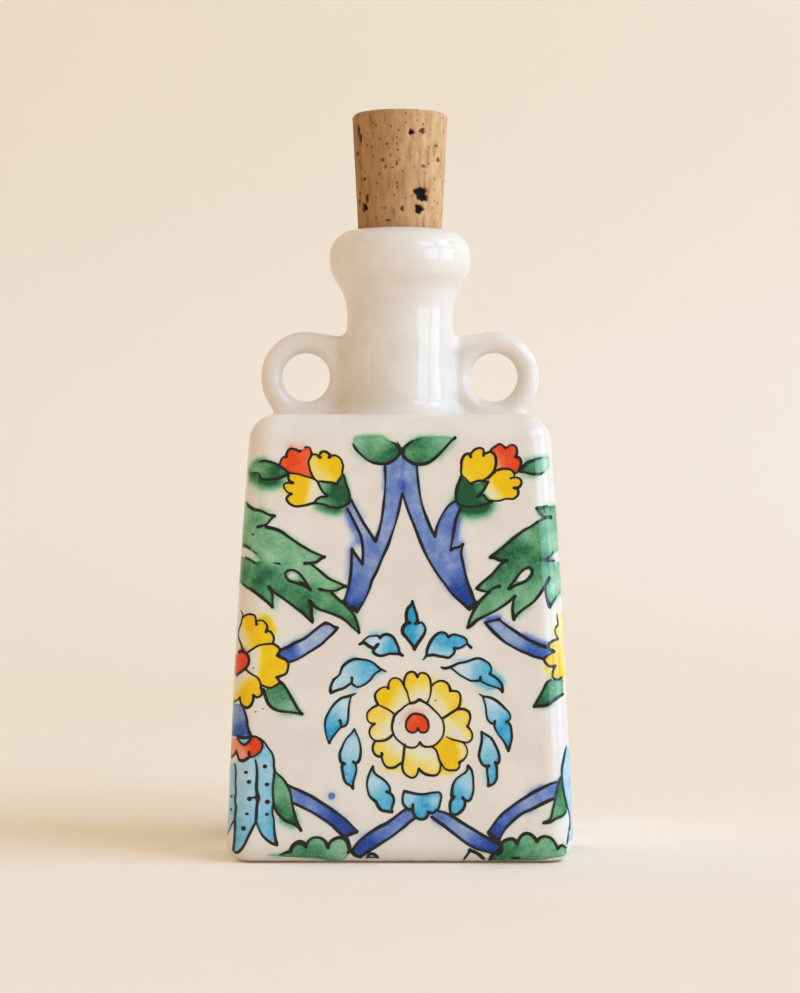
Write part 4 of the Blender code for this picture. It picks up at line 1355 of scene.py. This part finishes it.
# Materials
class Look:
    """A material, and short ways to put nodes in it."""

    def __init__(self, name):
        self.material = bpy.data.materials.new(name)
        self.material.use_nodes = True
        self.tree = self.material.node_tree
        self.shader = self.tree.nodes["Principled BSDF"]

    def set(self, socket, value):
        if isinstance(value, bpy.types.NodeSocket):
            self.tree.links.new(value, socket)
        elif isinstance(value, (tuple, list)) and len(value) == 3 and socket.type == "RGBA":
            socket.default_value = (*value, 1)
        else:
            socket.default_value = value

    def put(self, node, inputs):
        """Sets the node's inputs by their names."""
        for key, value in inputs.items():
            self.set(node.inputs[key.replace("_", " ")], value)

    def finish(self, **inputs):
        """Sets the shader's inputs. Returns the material."""
        self.put(self.shader, inputs)
        return self.material

    def node(self, kind, **inputs):
        made = self.tree.nodes.new(kind)
        self.put(made, inputs)
        return made

    def listed(self, kind, values, **settings):
        """A node whose inputs are set in their order."""
        made = self.tree.nodes.new(kind)
        for key, value in settings.items():
            setattr(made, key, value)
        for socket, value in zip(made.inputs, values):
            self.set(socket, value)
        return made.outputs[0]

    def math(self, operation, *values):
        return self.listed("ShaderNodeMath", values, operation=operation)

    def add(self, *values):
        return self.math("ADD", *values)

    def times(self, *values):
        return self.math("MULTIPLY", *values)

    def mix(self, share, first, second, blend="MIX"):
        made = self.tree.nodes.new("ShaderNodeMix")
        made.data_type = "RGBA"
        made.blend_type = blend
        self.set(made.inputs[0], share)
        self.set(made.inputs[6], first)
        self.set(made.inputs[7], second)
        return made.outputs[2]

    def span(self, value, low, high, kind="SMOOTHSTEP"):
        """From 0 where the value is low to 1 where it is high."""
        return self.listed("ShaderNodeMapRange", (value, low, high, 0.0, 1.0), interpolation_type=kind)

    def ramp(self, value, *stops):
        made = self.tree.nodes.new("ShaderNodeValToRGB")
        self.set(made.inputs[0], value)
        elements = made.color_ramp.elements
        while len(elements) < len(stops):
            elements.new(0.5)
        for element, (place, colour) in zip(elements, stops):
            element.position = place
            element.color = (*colour, 1)
        return made.outputs[0]

    def place(self):
        return self.node("ShaderNodeTexCoord").outputs["Object"]

    def tall(self, vector, flatness):
        """The places with their heights made this much less, which draws a pattern out upwards."""
        return self.node("ShaderNodeMapping", Vector=vector, Scale=(1, 1, flatness)).outputs[0]

    def noise(self, vector, scale, detail=2.0, roughness=0.5):
        inputs = {"Vector": vector, "Scale": scale, "Detail": detail, "Roughness": roughness}
        return self.node("ShaderNodeTexNoise", **inputs).outputs["Fac"]

    def cells(self, vector, scale):
        """Scattered cells: how far each place is from a cell's middle, and a random number for each cell."""
        made = self.node("ShaderNodeTexVoronoi", Vector=vector, Scale=scale)
        chance = self.node("ShaderNodeSeparateColor", Color=made.outputs["Color"]).outputs[0]
        return made.outputs["Distance"], chance

    def split(self, vector):
        return self.node("ShaderNodeSeparateXYZ", Vector=vector).outputs

    def attribute(self, name):
        made = self.node("ShaderNodeAttribute")
        made.attribute_name = name
        return self.split(made.outputs["Vector"])

    def bump(self, height, distance):
        return self.node("ShaderNodeBump", Height=height, Distance=distance, Strength=1.0).outputs[0]


def tint(red, green, blue):
    """A colour from its values on a screen, 0 to 255."""
    levels = [c / 255 for c in (red, green, blue)]
    return tuple(((c + 0.055) / 1.055) ** 2.4 if c > 10 / 255 else c / 12.92 for c in levels)


# The pigments, from thin to thick
tone_stops = (0.0, 0.3, 0.6, 0.85, 1.0)
pigment_tones = {
    "green": ((206, 224, 200), (150, 196, 156), (104, 166, 120), (52, 124, 78), (14, 82, 48)),
    "blue": ((208, 210, 220), (156, 172, 206), (102, 130, 190), (58, 94, 172), (14, 58, 144)),
    "yellow": ((233, 224, 206), (240, 224, 150), (243, 212, 92), (245, 202, 12), (242, 192, 0)),
    "red": ((236, 210, 190), (240, 168, 138), (240, 108, 66), (238, 82, 32), (230, 62, 14)),
    "sky": ((214, 226, 230), (176, 212, 226), (128, 194, 216), (74, 172, 208), (14, 154, 200)),
}
# How strongly each pigment runs into the glaze around it, and how far
halos = {"green": 0.5, "blue": 0.3, "yellow": 0.22, "red": 0.2, "sky": 0.25}
halo_reach = 2.1 * mm
glaze_relief = 0.22 * mm
# The neck shows turning marks from here up
turned_from = 100 * mm
turned_fully = 104 * mm


def glaze_waves(look, place):
    """The broad waves of the glaze, which the lines on it share."""
    return look.noise(look.tall(place, 0.45), 130)


def make_glaze():
    """White glaze, with the pigments' colours under it, and bare clay at the foot rim."""
    look = Look("white_glaze")
    place = look.place()
    first, second, third, fourth = [look.attribute("paint_" + n) for n in ("one", "two", "three", "four")]
    gaps = [*first, second[0], second[1]]
    tone = second[2]
    washed = [*third, fourth[0], fourth[1]]
    ink = fourth[2]
    fine = look.add(look.noise(place, 2600, 2, 0.6), -0.5)
    broad = look.noise(place, 330, 3, 0.6)
    swing = look.add(broad, -0.5)
    slow = look.noise(place, 120)
    mottle = look.add(look.times(swing, 0.75), look.times(fine, 0.42))
    colour = look.mix(look.span(slow, 0.35, 0.7), tint(231, 220, 208), tint(236, 226, 214))
    for name, gap, wash_in in zip(pigments, gaps, washed):
        stops = [(share, tint(*shade)) for share, shade in zip(tone_stops, pigment_tones[name])]
        edge = look.add(gap, look.times(swing, 0.5 * mm))
        # The pigment lies thicker along the inside of its edge
        rim = look.math("ABSOLUTE", look.add(edge, 0.22 * mm))
        pool = look.times(look.span(rim, 0.5 * mm, 0.0), 0.12)
        painted = look.ramp(look.add(look.add(tone, mottle), pool), *stops)
        spread = look.math("POWER", look.span(edge, halo_reach, 0.0, "LINEAR"), 2.4)
        spread = look.times(look.times(spread, halos[name]), look.span(slow, 0.3, 0.62))
        wash_in = look.times(wash_in, look.add(0.55, look.times(broad, 0.9)))
        spread = look.math("MAXIMUM", spread, wash_in)
        stained = look.mix(1.0, colour, look.ramp(look.times(spread, 1.2), *stops), "DARKEN")
        colour = look.mix(look.math("MINIMUM", look.times(spread, 2.4), 1.0), colour, stained)
        colour = look.mix(look.span(edge, 0.16 * mm, -0.12 * mm), colour, painted)
    smudge = look.times(look.span(ink, 0.3 * mm, -0.1 * mm), 0.22)
    colour = look.mix(smudge, colour, tint(60, 58, 62))
    distance, chance = look.cells(place, 150.0)
    speck = look.times(look.span(distance, 0.028, 0.016), look.span(chance, 0.84, 0.86))
    colour = look.mix(look.times(speck, 0.8), colour, tint(80, 66, 54))
    up = look.split(place)[2]
    bare = look.span(look.add(up, look.times(swing, 0.8 * mm)), 0.7 * mm, 0.4 * mm)
    grit = look.noise(place, 1500, 3, 0.7)
    colour = look.mix(bare, colour, look.mix(grit, tint(196, 168, 138), tint(160, 128, 100)))
    rough = look.add(0.035, look.times(look.noise(place, 800), 0.05))
    streaks = look.noise(look.tall(place, 0.12), 300, 2, 0.55)
    streaks = look.times(streaks, look.span(up, turned_from, turned_fully))
    height = look.add(glaze_waves(look, place), look.times(look.noise(place, 620), 0.12))
    height = look.add(height, look.times(streaks, 0.45))
    height = look.add(height, look.times(look.times(bare, grit), 0.6))
    return look.finish(
        Base_Color=colour,
        Roughness=look.add(rough, look.times(bare, 0.6)),
        IOR=1.5,
        Specular_IOR_Level=0.38,
        Normal=look.bump(height, glaze_relief),
    )


def make_ink():
    """The black of the painted lines, under the same glaze."""
    look = Look("black_line")
    place = look.place()
    tone = look.noise(place, 900, 2, 0.6)
    return look.finish(
        Base_Color=look.ramp(tone, (0.3, tint(7, 6, 7)), (0.62, tint(13, 11, 12)), (0.8, tint(28, 25, 25))),
        Roughness=look.add(0.08, look.times(tone, 0.1)),
        Specular_IOR_Level=0.45,
        Normal=look.bump(glaze_waves(look, place), glaze_relief),
    )


# The cork
cork_gap = 0.05 * mm
cork_rows = 190
cork_around = 260
cork_cap_rows = 34
cork_edge = 1.3 * mm
cork_edge_rows = 4
wall_pores = 150
top_pores = 46
# The wall's random pores keep this far off the direction of the camera, where the seen ones are
seen_angle = 1.2
# Pores seen near the outline are turned away, and are taken to be wider than they look, down to this share
least_facing = 0.3
cork_relief = 0.25 * mm
# Pores seen in the photograph: where they are, their width and height, all in pixels, and their depth in mm
seen_pores = [
    (421, 192, 11, 12, 1.3),
    (424.5, 196, 7, 8, 1.2),
    (419.5, 208, 8, 8.5, 1.1),
    (411.5, 131.5, 5.5, 5.5, 0.9),
    (422.5, 130, 6, 6, 0.5),
    (357.5, 127, 2.5, 12, 0.8),
    (359.5, 135, 3, 9, 0.8),
    (356, 149.5, 2.5, 5, 0.6),
    (363.5, 176.5, 3, 3.5, 0.6),
    (359, 191, 2, 6, 0.5),
    (366.3, 196, 3, 9, 0.8),
    (363.5, 205, 5, 9, 0.9),
    (358.5, 199, 2, 9, 0.5),
    (402, 208, 4, 6, 0.45),
    (387.5, 219.5, 6, 2.5, 0.4),
    (375.5, 124, 2, 3, 0.35),
    (398.5, 130, 2, 3.5, 0.35),
    (386.5, 143.5, 2.5, 3, 0.4),
    (371.5, 145.5, 2, 2.5, 0.4),
    (397.5, 149.5, 2, 2, 0.4),
    (390, 155, 2, 3, 0.35),
    (382, 159, 4, 4, 0.35),
    (396.5, 163, 2, 5, 0.4),
    (385, 166, 2.5, 4, 0.4),
    (392, 167, 3, 2, 0.35),
    (376, 182, 2.5, 3, 0.3),
    (437, 143.5, 5, 3, 0.3),
    (439, 157, 4, 5, 0.4),
    (424, 165, 5, 3.5, 0.35),
    (375.5, 216.5, 2, 3, 0.35),
    (435.5, 227, 3, 2, 0.3),
]


def make_cork():
    """The stopper, turned as a tapered plug whose wall and ends are full of small pits."""
    draw = np.random.default_rng(21)
    # The profile from the bottom's middle to the top's middle: radius and height
    profile = []
    low_r = cork_radius(cork_low) - cork_gap
    high_r = cork_radius(cork_high) - cork_gap
    low_z = cork_low + cork_gap
    high_z = cork_high - cork_gap
    for i in range(1, cork_cap_rows + 1):
        profile.append(((low_r - cork_edge) * i / cork_cap_rows, low_z))
    for i in range(1, cork_edge_rows + 1):
        turn = i / cork_edge_rows * math.pi / 2
        profile.append((low_r - cork_edge * (1 - math.sin(turn)), low_z + cork_edge * (1 - math.cos(turn))))
    for i in range(1, cork_rows):
        z = low_z + cork_edge + (high_z - low_z - 2 * cork_edge) * i / cork_rows
        profile.append((cork_radius(z) - cork_gap, z))
    for i in range(0, cork_edge_rows + 1):
        turn = i / cork_edge_rows * math.pi / 2
        profile.append((high_r - cork_edge * (1 - math.cos(turn)), high_z - cork_edge * (1 - math.sin(turn))))
    for i in range(cork_cap_rows - 1, 0, -1):
        profile.append(((high_r - cork_edge) * i / cork_cap_rows, high_z))
    profile = np.array(profile)
    slope = np.gradient(profile, axis=0)
    slope /= np.linalg.norm(slope, axis=1, keepdims=True)
    normal = np.stack([slope[:, 1], -slope[:, 0]], -1)
    angles = np.arange(cork_around) / cork_around * 2 * math.pi

    def turned(rows):
        r, z = rows[:, :1], rows[:, 1:]
        return np.stack([r * np.cos(angles), r * np.sin(angles), z + 0 * angles], -1)

    points, out = turned(profile), turned(normal)
    pores = []
    for x, y, wide, high, depth in seen_pores:
        distance = camera_distance - cork_high_radius
        px = (x - axis_column) / focal_pixels * distance
        pz = camera_height + (eye_row - y) / focal_pixels * distance
        pr = cork_radius(pz)
        centre = np.array([px, -math.sqrt(max(pr * pr - px * px, 0)), pz])
        facing = max(-centre[1] / pr, least_facing)
        pores.append((centre, wide * pixel_size / 2 / facing, high * pixel_size / 2, depth * mm))
    for _ in range(wall_pores):
        turn = draw.uniform(0, 2 * math.pi)
        pz = draw.uniform(rim_height, cork_high)
        pr = cork_radius(pz)
        size = draw.uniform(0.1, 0.36)
        tall = size * draw.uniform(0.8, 2.6)
        if abs(turn - 1.5 * math.pi) < seen_angle:
            continue
        centre = np.array([pr * math.cos(turn), pr * math.sin(turn), pz])
        pores.append((centre, size * mm, tall * mm, draw.uniform(0.12, 0.45) * mm))
    for _ in range(top_pores):
        turn = draw.uniform(0, 2 * math.pi)
        pr = high_r * math.sqrt(draw.uniform(0.0, 0.95))
        size = draw.uniform(0.2, 0.7)
        centre = np.array([pr * math.cos(turn), pr * math.sin(turn), cork_high])
        pores.append((centre, size * mm, size * mm * draw.uniform(0.4, 1), draw.uniform(0.2, 0.6) * mm))
    sink = np.zeros(points.shape[:2])
    for centre, wide, high, depth in pores:
        gap = points - centre
        if centre[2] >= cork_high - 0.1 * mm:
            near = (gap[..., 0] / wide) ** 2 + (gap[..., 1] / high) ** 2 + (gap[..., 2] / (0.5 * mm)) ** 2
        else:
            flat = np.array([centre[1], -centre[0]]) / np.hypot(centre[0], centre[1])
            across = gap[..., 0] * flat[0] + gap[..., 1] * flat[1]
            inward = gap[..., 0] * centre[0] + gap[..., 1] * centre[1]
            side = inward > -np.hypot(centre[0], centre[1]) * 3 * mm
            bearing = np.arctan2(gap[..., 2] / high, across / wide)
            seed = centre[0] * 4000
            ragged = 1 + 0.16 * np.sin(3 * bearing + seed) + 0.12 * np.sin(5 * bearing + 2 * seed)
            near = np.where(side, ((across / wide) ** 2 + (gap[..., 2] / high) ** 2) / ragged**2, 99)
        sink = np.maximum(sink, depth * np.exp(-(near**2)))
    points = points - out * sink[..., None]
    flat_points = points.reshape(-1, 3)
    n = len(profile)
    grid = np.arange(n * cork_around).reshape(n, cork_around)
    after = np.roll(grid, -1, 1)
    quads = np.stack([grid[:-1], after[:-1], after[1:], grid[1:]], -1).reshape(-1, 4)
    bottom = len(flat_points)
    flat_points = np.concatenate([flat_points, [[0, 0, low_z], [0, 0, high_z]]])
    tips = [(int(b), int(a), bottom) for a, b in zip(grid[0], after[0])]
    tips += [(int(a), int(b), bottom + 1) for a, b in zip(grid[-1], after[-1])]
    made = mesh_object("cork_plug", flat_points, quads.tolist() + tips, "cork")
    depths = np.concatenate([sink.ravel(), [0, 0]]) / mm
    store(made.data, "pore", np.stack([depths, depths, depths], -1))
    return made


def make_cork_look():
    """Cork: streaky brown with dark crumbs and pores, painted shade deep in the pits, and painted light and
    shade across it: darker at the left, paler towards the window.
    """
    look = Look("natural_cork")
    place = look.place()
    grain = look.noise(look.tall(place, 0.28), 700, 4, 0.62)
    broad = look.noise(look.tall(place, 0.35), 190, 3, 0.55)
    distance, chance = look.cells(look.tall(place, 0.6), 1500.0)
    colour = look.ramp(
        grain,
        (0.25, tint(138, 98, 64)),
        (0.45, tint(184, 142, 100)),
        (0.62, tint(202, 162, 120)),
        (0.85, tint(220, 184, 146)),
    )
    colour = look.mix(look.times(look.span(broad, 0.3, 0.75), 0.5), colour, tint(190, 144, 98))
    flecks = look.times(look.span(distance, 0.36, 0.12), look.span(chance, 0.8, 0.9))
    colour = look.mix(look.times(flecks, 0.75), colour, tint(96, 60, 34))
    streaks = look.noise(look.tall(place, 0.12), 900, 2, 0.6)
    colour = look.mix(look.times(look.span(streaks, 0.62, 0.72), 0.6), colour, tint(120, 78, 44))
    # Painted light and shade: the cork's colour is darker at its left and paler and cooler at its right,
    # towards the window
    across = look.span(look.split(place)[0], -11 * mm, 11 * mm, "LINEAR")
    shade = look.ramp(
        across,
        (0.0, (0.78, 0.7, 0.56)),
        (0.35, (0.86, 0.8, 0.7)),
        (0.65, (1.12, 1.12, 1.08)),
        (1.0, (1.3, 1.34, 1.34)),
    )
    colour = look.mix(1.0, colour, shade, "MULTIPLY")
    # The pits are darker the deeper they are: dark cork in the shallow ones, and painted shade, near black,
    # in the deep ones
    pore = look.attribute("pore")[0]
    colour = look.mix(look.times(look.span(pore, 0.06, 0.3), 0.85), colour, tint(104, 66, 40))
    colour = look.mix(look.span(pore, 0.3, 0.7), colour, tint(24, 15, 12))
    return look.finish(
        Base_Color=colour,
        Roughness=0.82,
        Specular_IOR_Level=0.3,
        Normal=look.bump(look.add(grain, look.times(flecks, -1.2)), cork_relief),
    )


skin = make_vessel()
coordinates = np.empty(len(skin.data.vertices) * 3)
skin.data.vertices.foreach_get("co", coordinates)
distance, tone, soft, ink = paint_fields(coordinates.reshape(-1, 3))
store(skin.data, "paint_one", distance[:, :3])
store(skin.data, "paint_two", np.stack([distance[:, 3], distance[:, 4], tone], -1))
store(skin.data, "paint_three", soft[:, :3])
store(skin.data, "paint_four", np.stack([soft[:, 3], soft[:, 4], ink], -1))
skin.data.materials.append(make_glaze())
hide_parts("bottle_body", "bottle_neck", "left_handle", "right_handle")

drawn = make_lines()
drawn.data.materials.append(make_ink())

cork = make_cork()
cork.data.materials.append(make_cork_look())
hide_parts("cork_stopper")

# Floor and backdrop, in one sweep: the floor, a quarter of a circle and a wall
floor_front = -5.0
bend_start = 0.5
bend_radius = 0.5
bend_steps = 16
wall_top = 2.5
sweep_half = 5.0
# The painted glow of light on the floor near the bottle: how strong it is, and how fast it fades with
# distance
painted_glow_strength = 0.155
painted_glow_fade = 25.0


def make_floor_look():
    """A pale floor that turns warmer up the backdrop, with a painted glow of light close to the bottle."""
    look = Look("pale_floor")
    right, depth, height = look.split(look.place())
    # Painted light: close to the white glaze the floor glows for the camera, most of all towards the window,
    # in place of the light the glaze throws on it
    slanted = look.times(look.add(depth, look.times(right, -0.4)), 1.5)
    away = look.math("SQRT", look.add(look.times(right, right), look.times(slanted, slanted)))
    painted_glow = look.math("EXPONENT", look.add(1.0, look.times(away, -painted_glow_fade)))
    seen = look.node("ShaderNodeLightPath").outputs["Is Camera Ray"]
    return look.finish(
        Base_Color=look.mix(look.span(height, 0.05, 0.34), (0.945, 0.85, 0.73), (0.9, 0.777, 0.625)),
        Roughness=0.9,
        Specular_IOR_Level=0.1,
        Emission_Color=(1, 0.8, 0.68),
        Emission_Strength=look.times(look.times(painted_glow, painted_glow_strength), seen),
    )


profile = [(floor_front, 0.0), (bend_start, 0.0)]
for step in range(1, bend_steps + 1):
    turn = step / bend_steps * math.pi / 2
    profile.append((bend_start + bend_radius * math.sin(turn), bend_radius * (1 - math.cos(turn))))
profile.append((bend_start + bend_radius, wall_top))
sweep = [(side, along, up) for along, up in profile for side in (-sweep_half, sweep_half)]
sweep_faces = [(2 * i, 2 * i + 1, 2 * i + 3, 2 * i + 2) for i in range(len(profile) - 1)]
floor = mesh_object("studio_sweep", sweep, sweep_faces)
floor.data.materials.append(make_floor_look())

# Camera
sensor_height = 36.0
lens = bpy.data.cameras.new("camera")
camera = bpy.data.objects.new("camera", lens)
scene.collection.objects.link(camera)
scene.camera = camera
lens.sensor_fit = "VERTICAL"
lens.sensor_height = sensor_height
lens.lens = sensor_height * focal_pixels / frame_height
lens.shift_x = (frame_width / 2 - axis_column) / frame_height
lens.shift_y = (eye_row - frame_height / 2) / frame_height
camera.location = (0, -camera_distance, camera_height)
camera.rotation_euler = (math.pi / 2, 0, 0)


def area_lamp(name, place, target, size, power, colour):
    data = bpy.data.lights.new(name, "AREA")
    data.shape = "RECTANGLE"
    data.size, data.size_y = size
    data.energy = power
    data.color = colour
    made = bpy.data.objects.new(name, data)
    scene.collection.objects.link(made)
    made.location = place
    aim = mathutils.Vector(target) - mathutils.Vector(place)
    made.rotation_euler = aim.to_track_quat("-Z", "Y").to_euler()


# The key light is a window of four panes
window_place = np.array([2.37, -0.99, 0.97])
window_aim = np.array([0, 0, 0.07])
pane_size = 1.38
pane_gap = 0.36
window_power = 110.0
window_colour = (0.434, 0.678, 1)
soft_place = (-0.8, -0.3, 0.36)
soft_aim = (0, 0, 0.1)
soft_size = (0.14, 0.45)
soft_power = 0.22
soft_colour = (1, 0.93, 0.84)
across_window = np.cross(window_place - window_aim, (0, 0, 1))
across_window /= np.linalg.norm(across_window)
up_window = np.cross(across_window, window_place - window_aim)
up_window /= np.linalg.norm(up_window)
for column_side in (-1, 1):
    for row_side in (-1, 1):
        shift = (pane_size + pane_gap) / 2 * (column_side * across_window + row_side * up_window)
        place, aim = window_place + shift, window_aim + shift
        area_lamp("window_pane", place, aim, (pane_size, pane_size), window_power / 4, window_colour)
area_lamp("soft_left", soft_place, soft_aim, soft_size, soft_power, soft_colour)

# The world
air_colour = (1, 0.843, 0.65, 1)
air_strength = 0.7
far_floor_colour = (0.943, 0.714, 0.471, 1)
world = bpy.data.worlds.new("studio")
scene.world = world
world.use_nodes = True
background = world.node_tree.nodes["Background"]
background.inputs["Strength"].default_value = air_strength
# Where the camera looks past the end of the floor, the world has the far floor's colour
seen_world = world.node_tree.nodes.new("ShaderNodeMix")
seen_world.data_type = "RGBA"
seen_world.inputs[6].default_value = air_colour
seen_world.inputs[7].default_value = far_floor_colour
camera_ray = world.node_tree.nodes.new("ShaderNodeLightPath").outputs["Is Camera Ray"]
world.node_tree.links.new(camera_ray, seen_world.inputs[0])
world.node_tree.links.new(seen_world.outputs[2], background.inputs["Color"])

scene.view_settings.view_transform = "Standard"
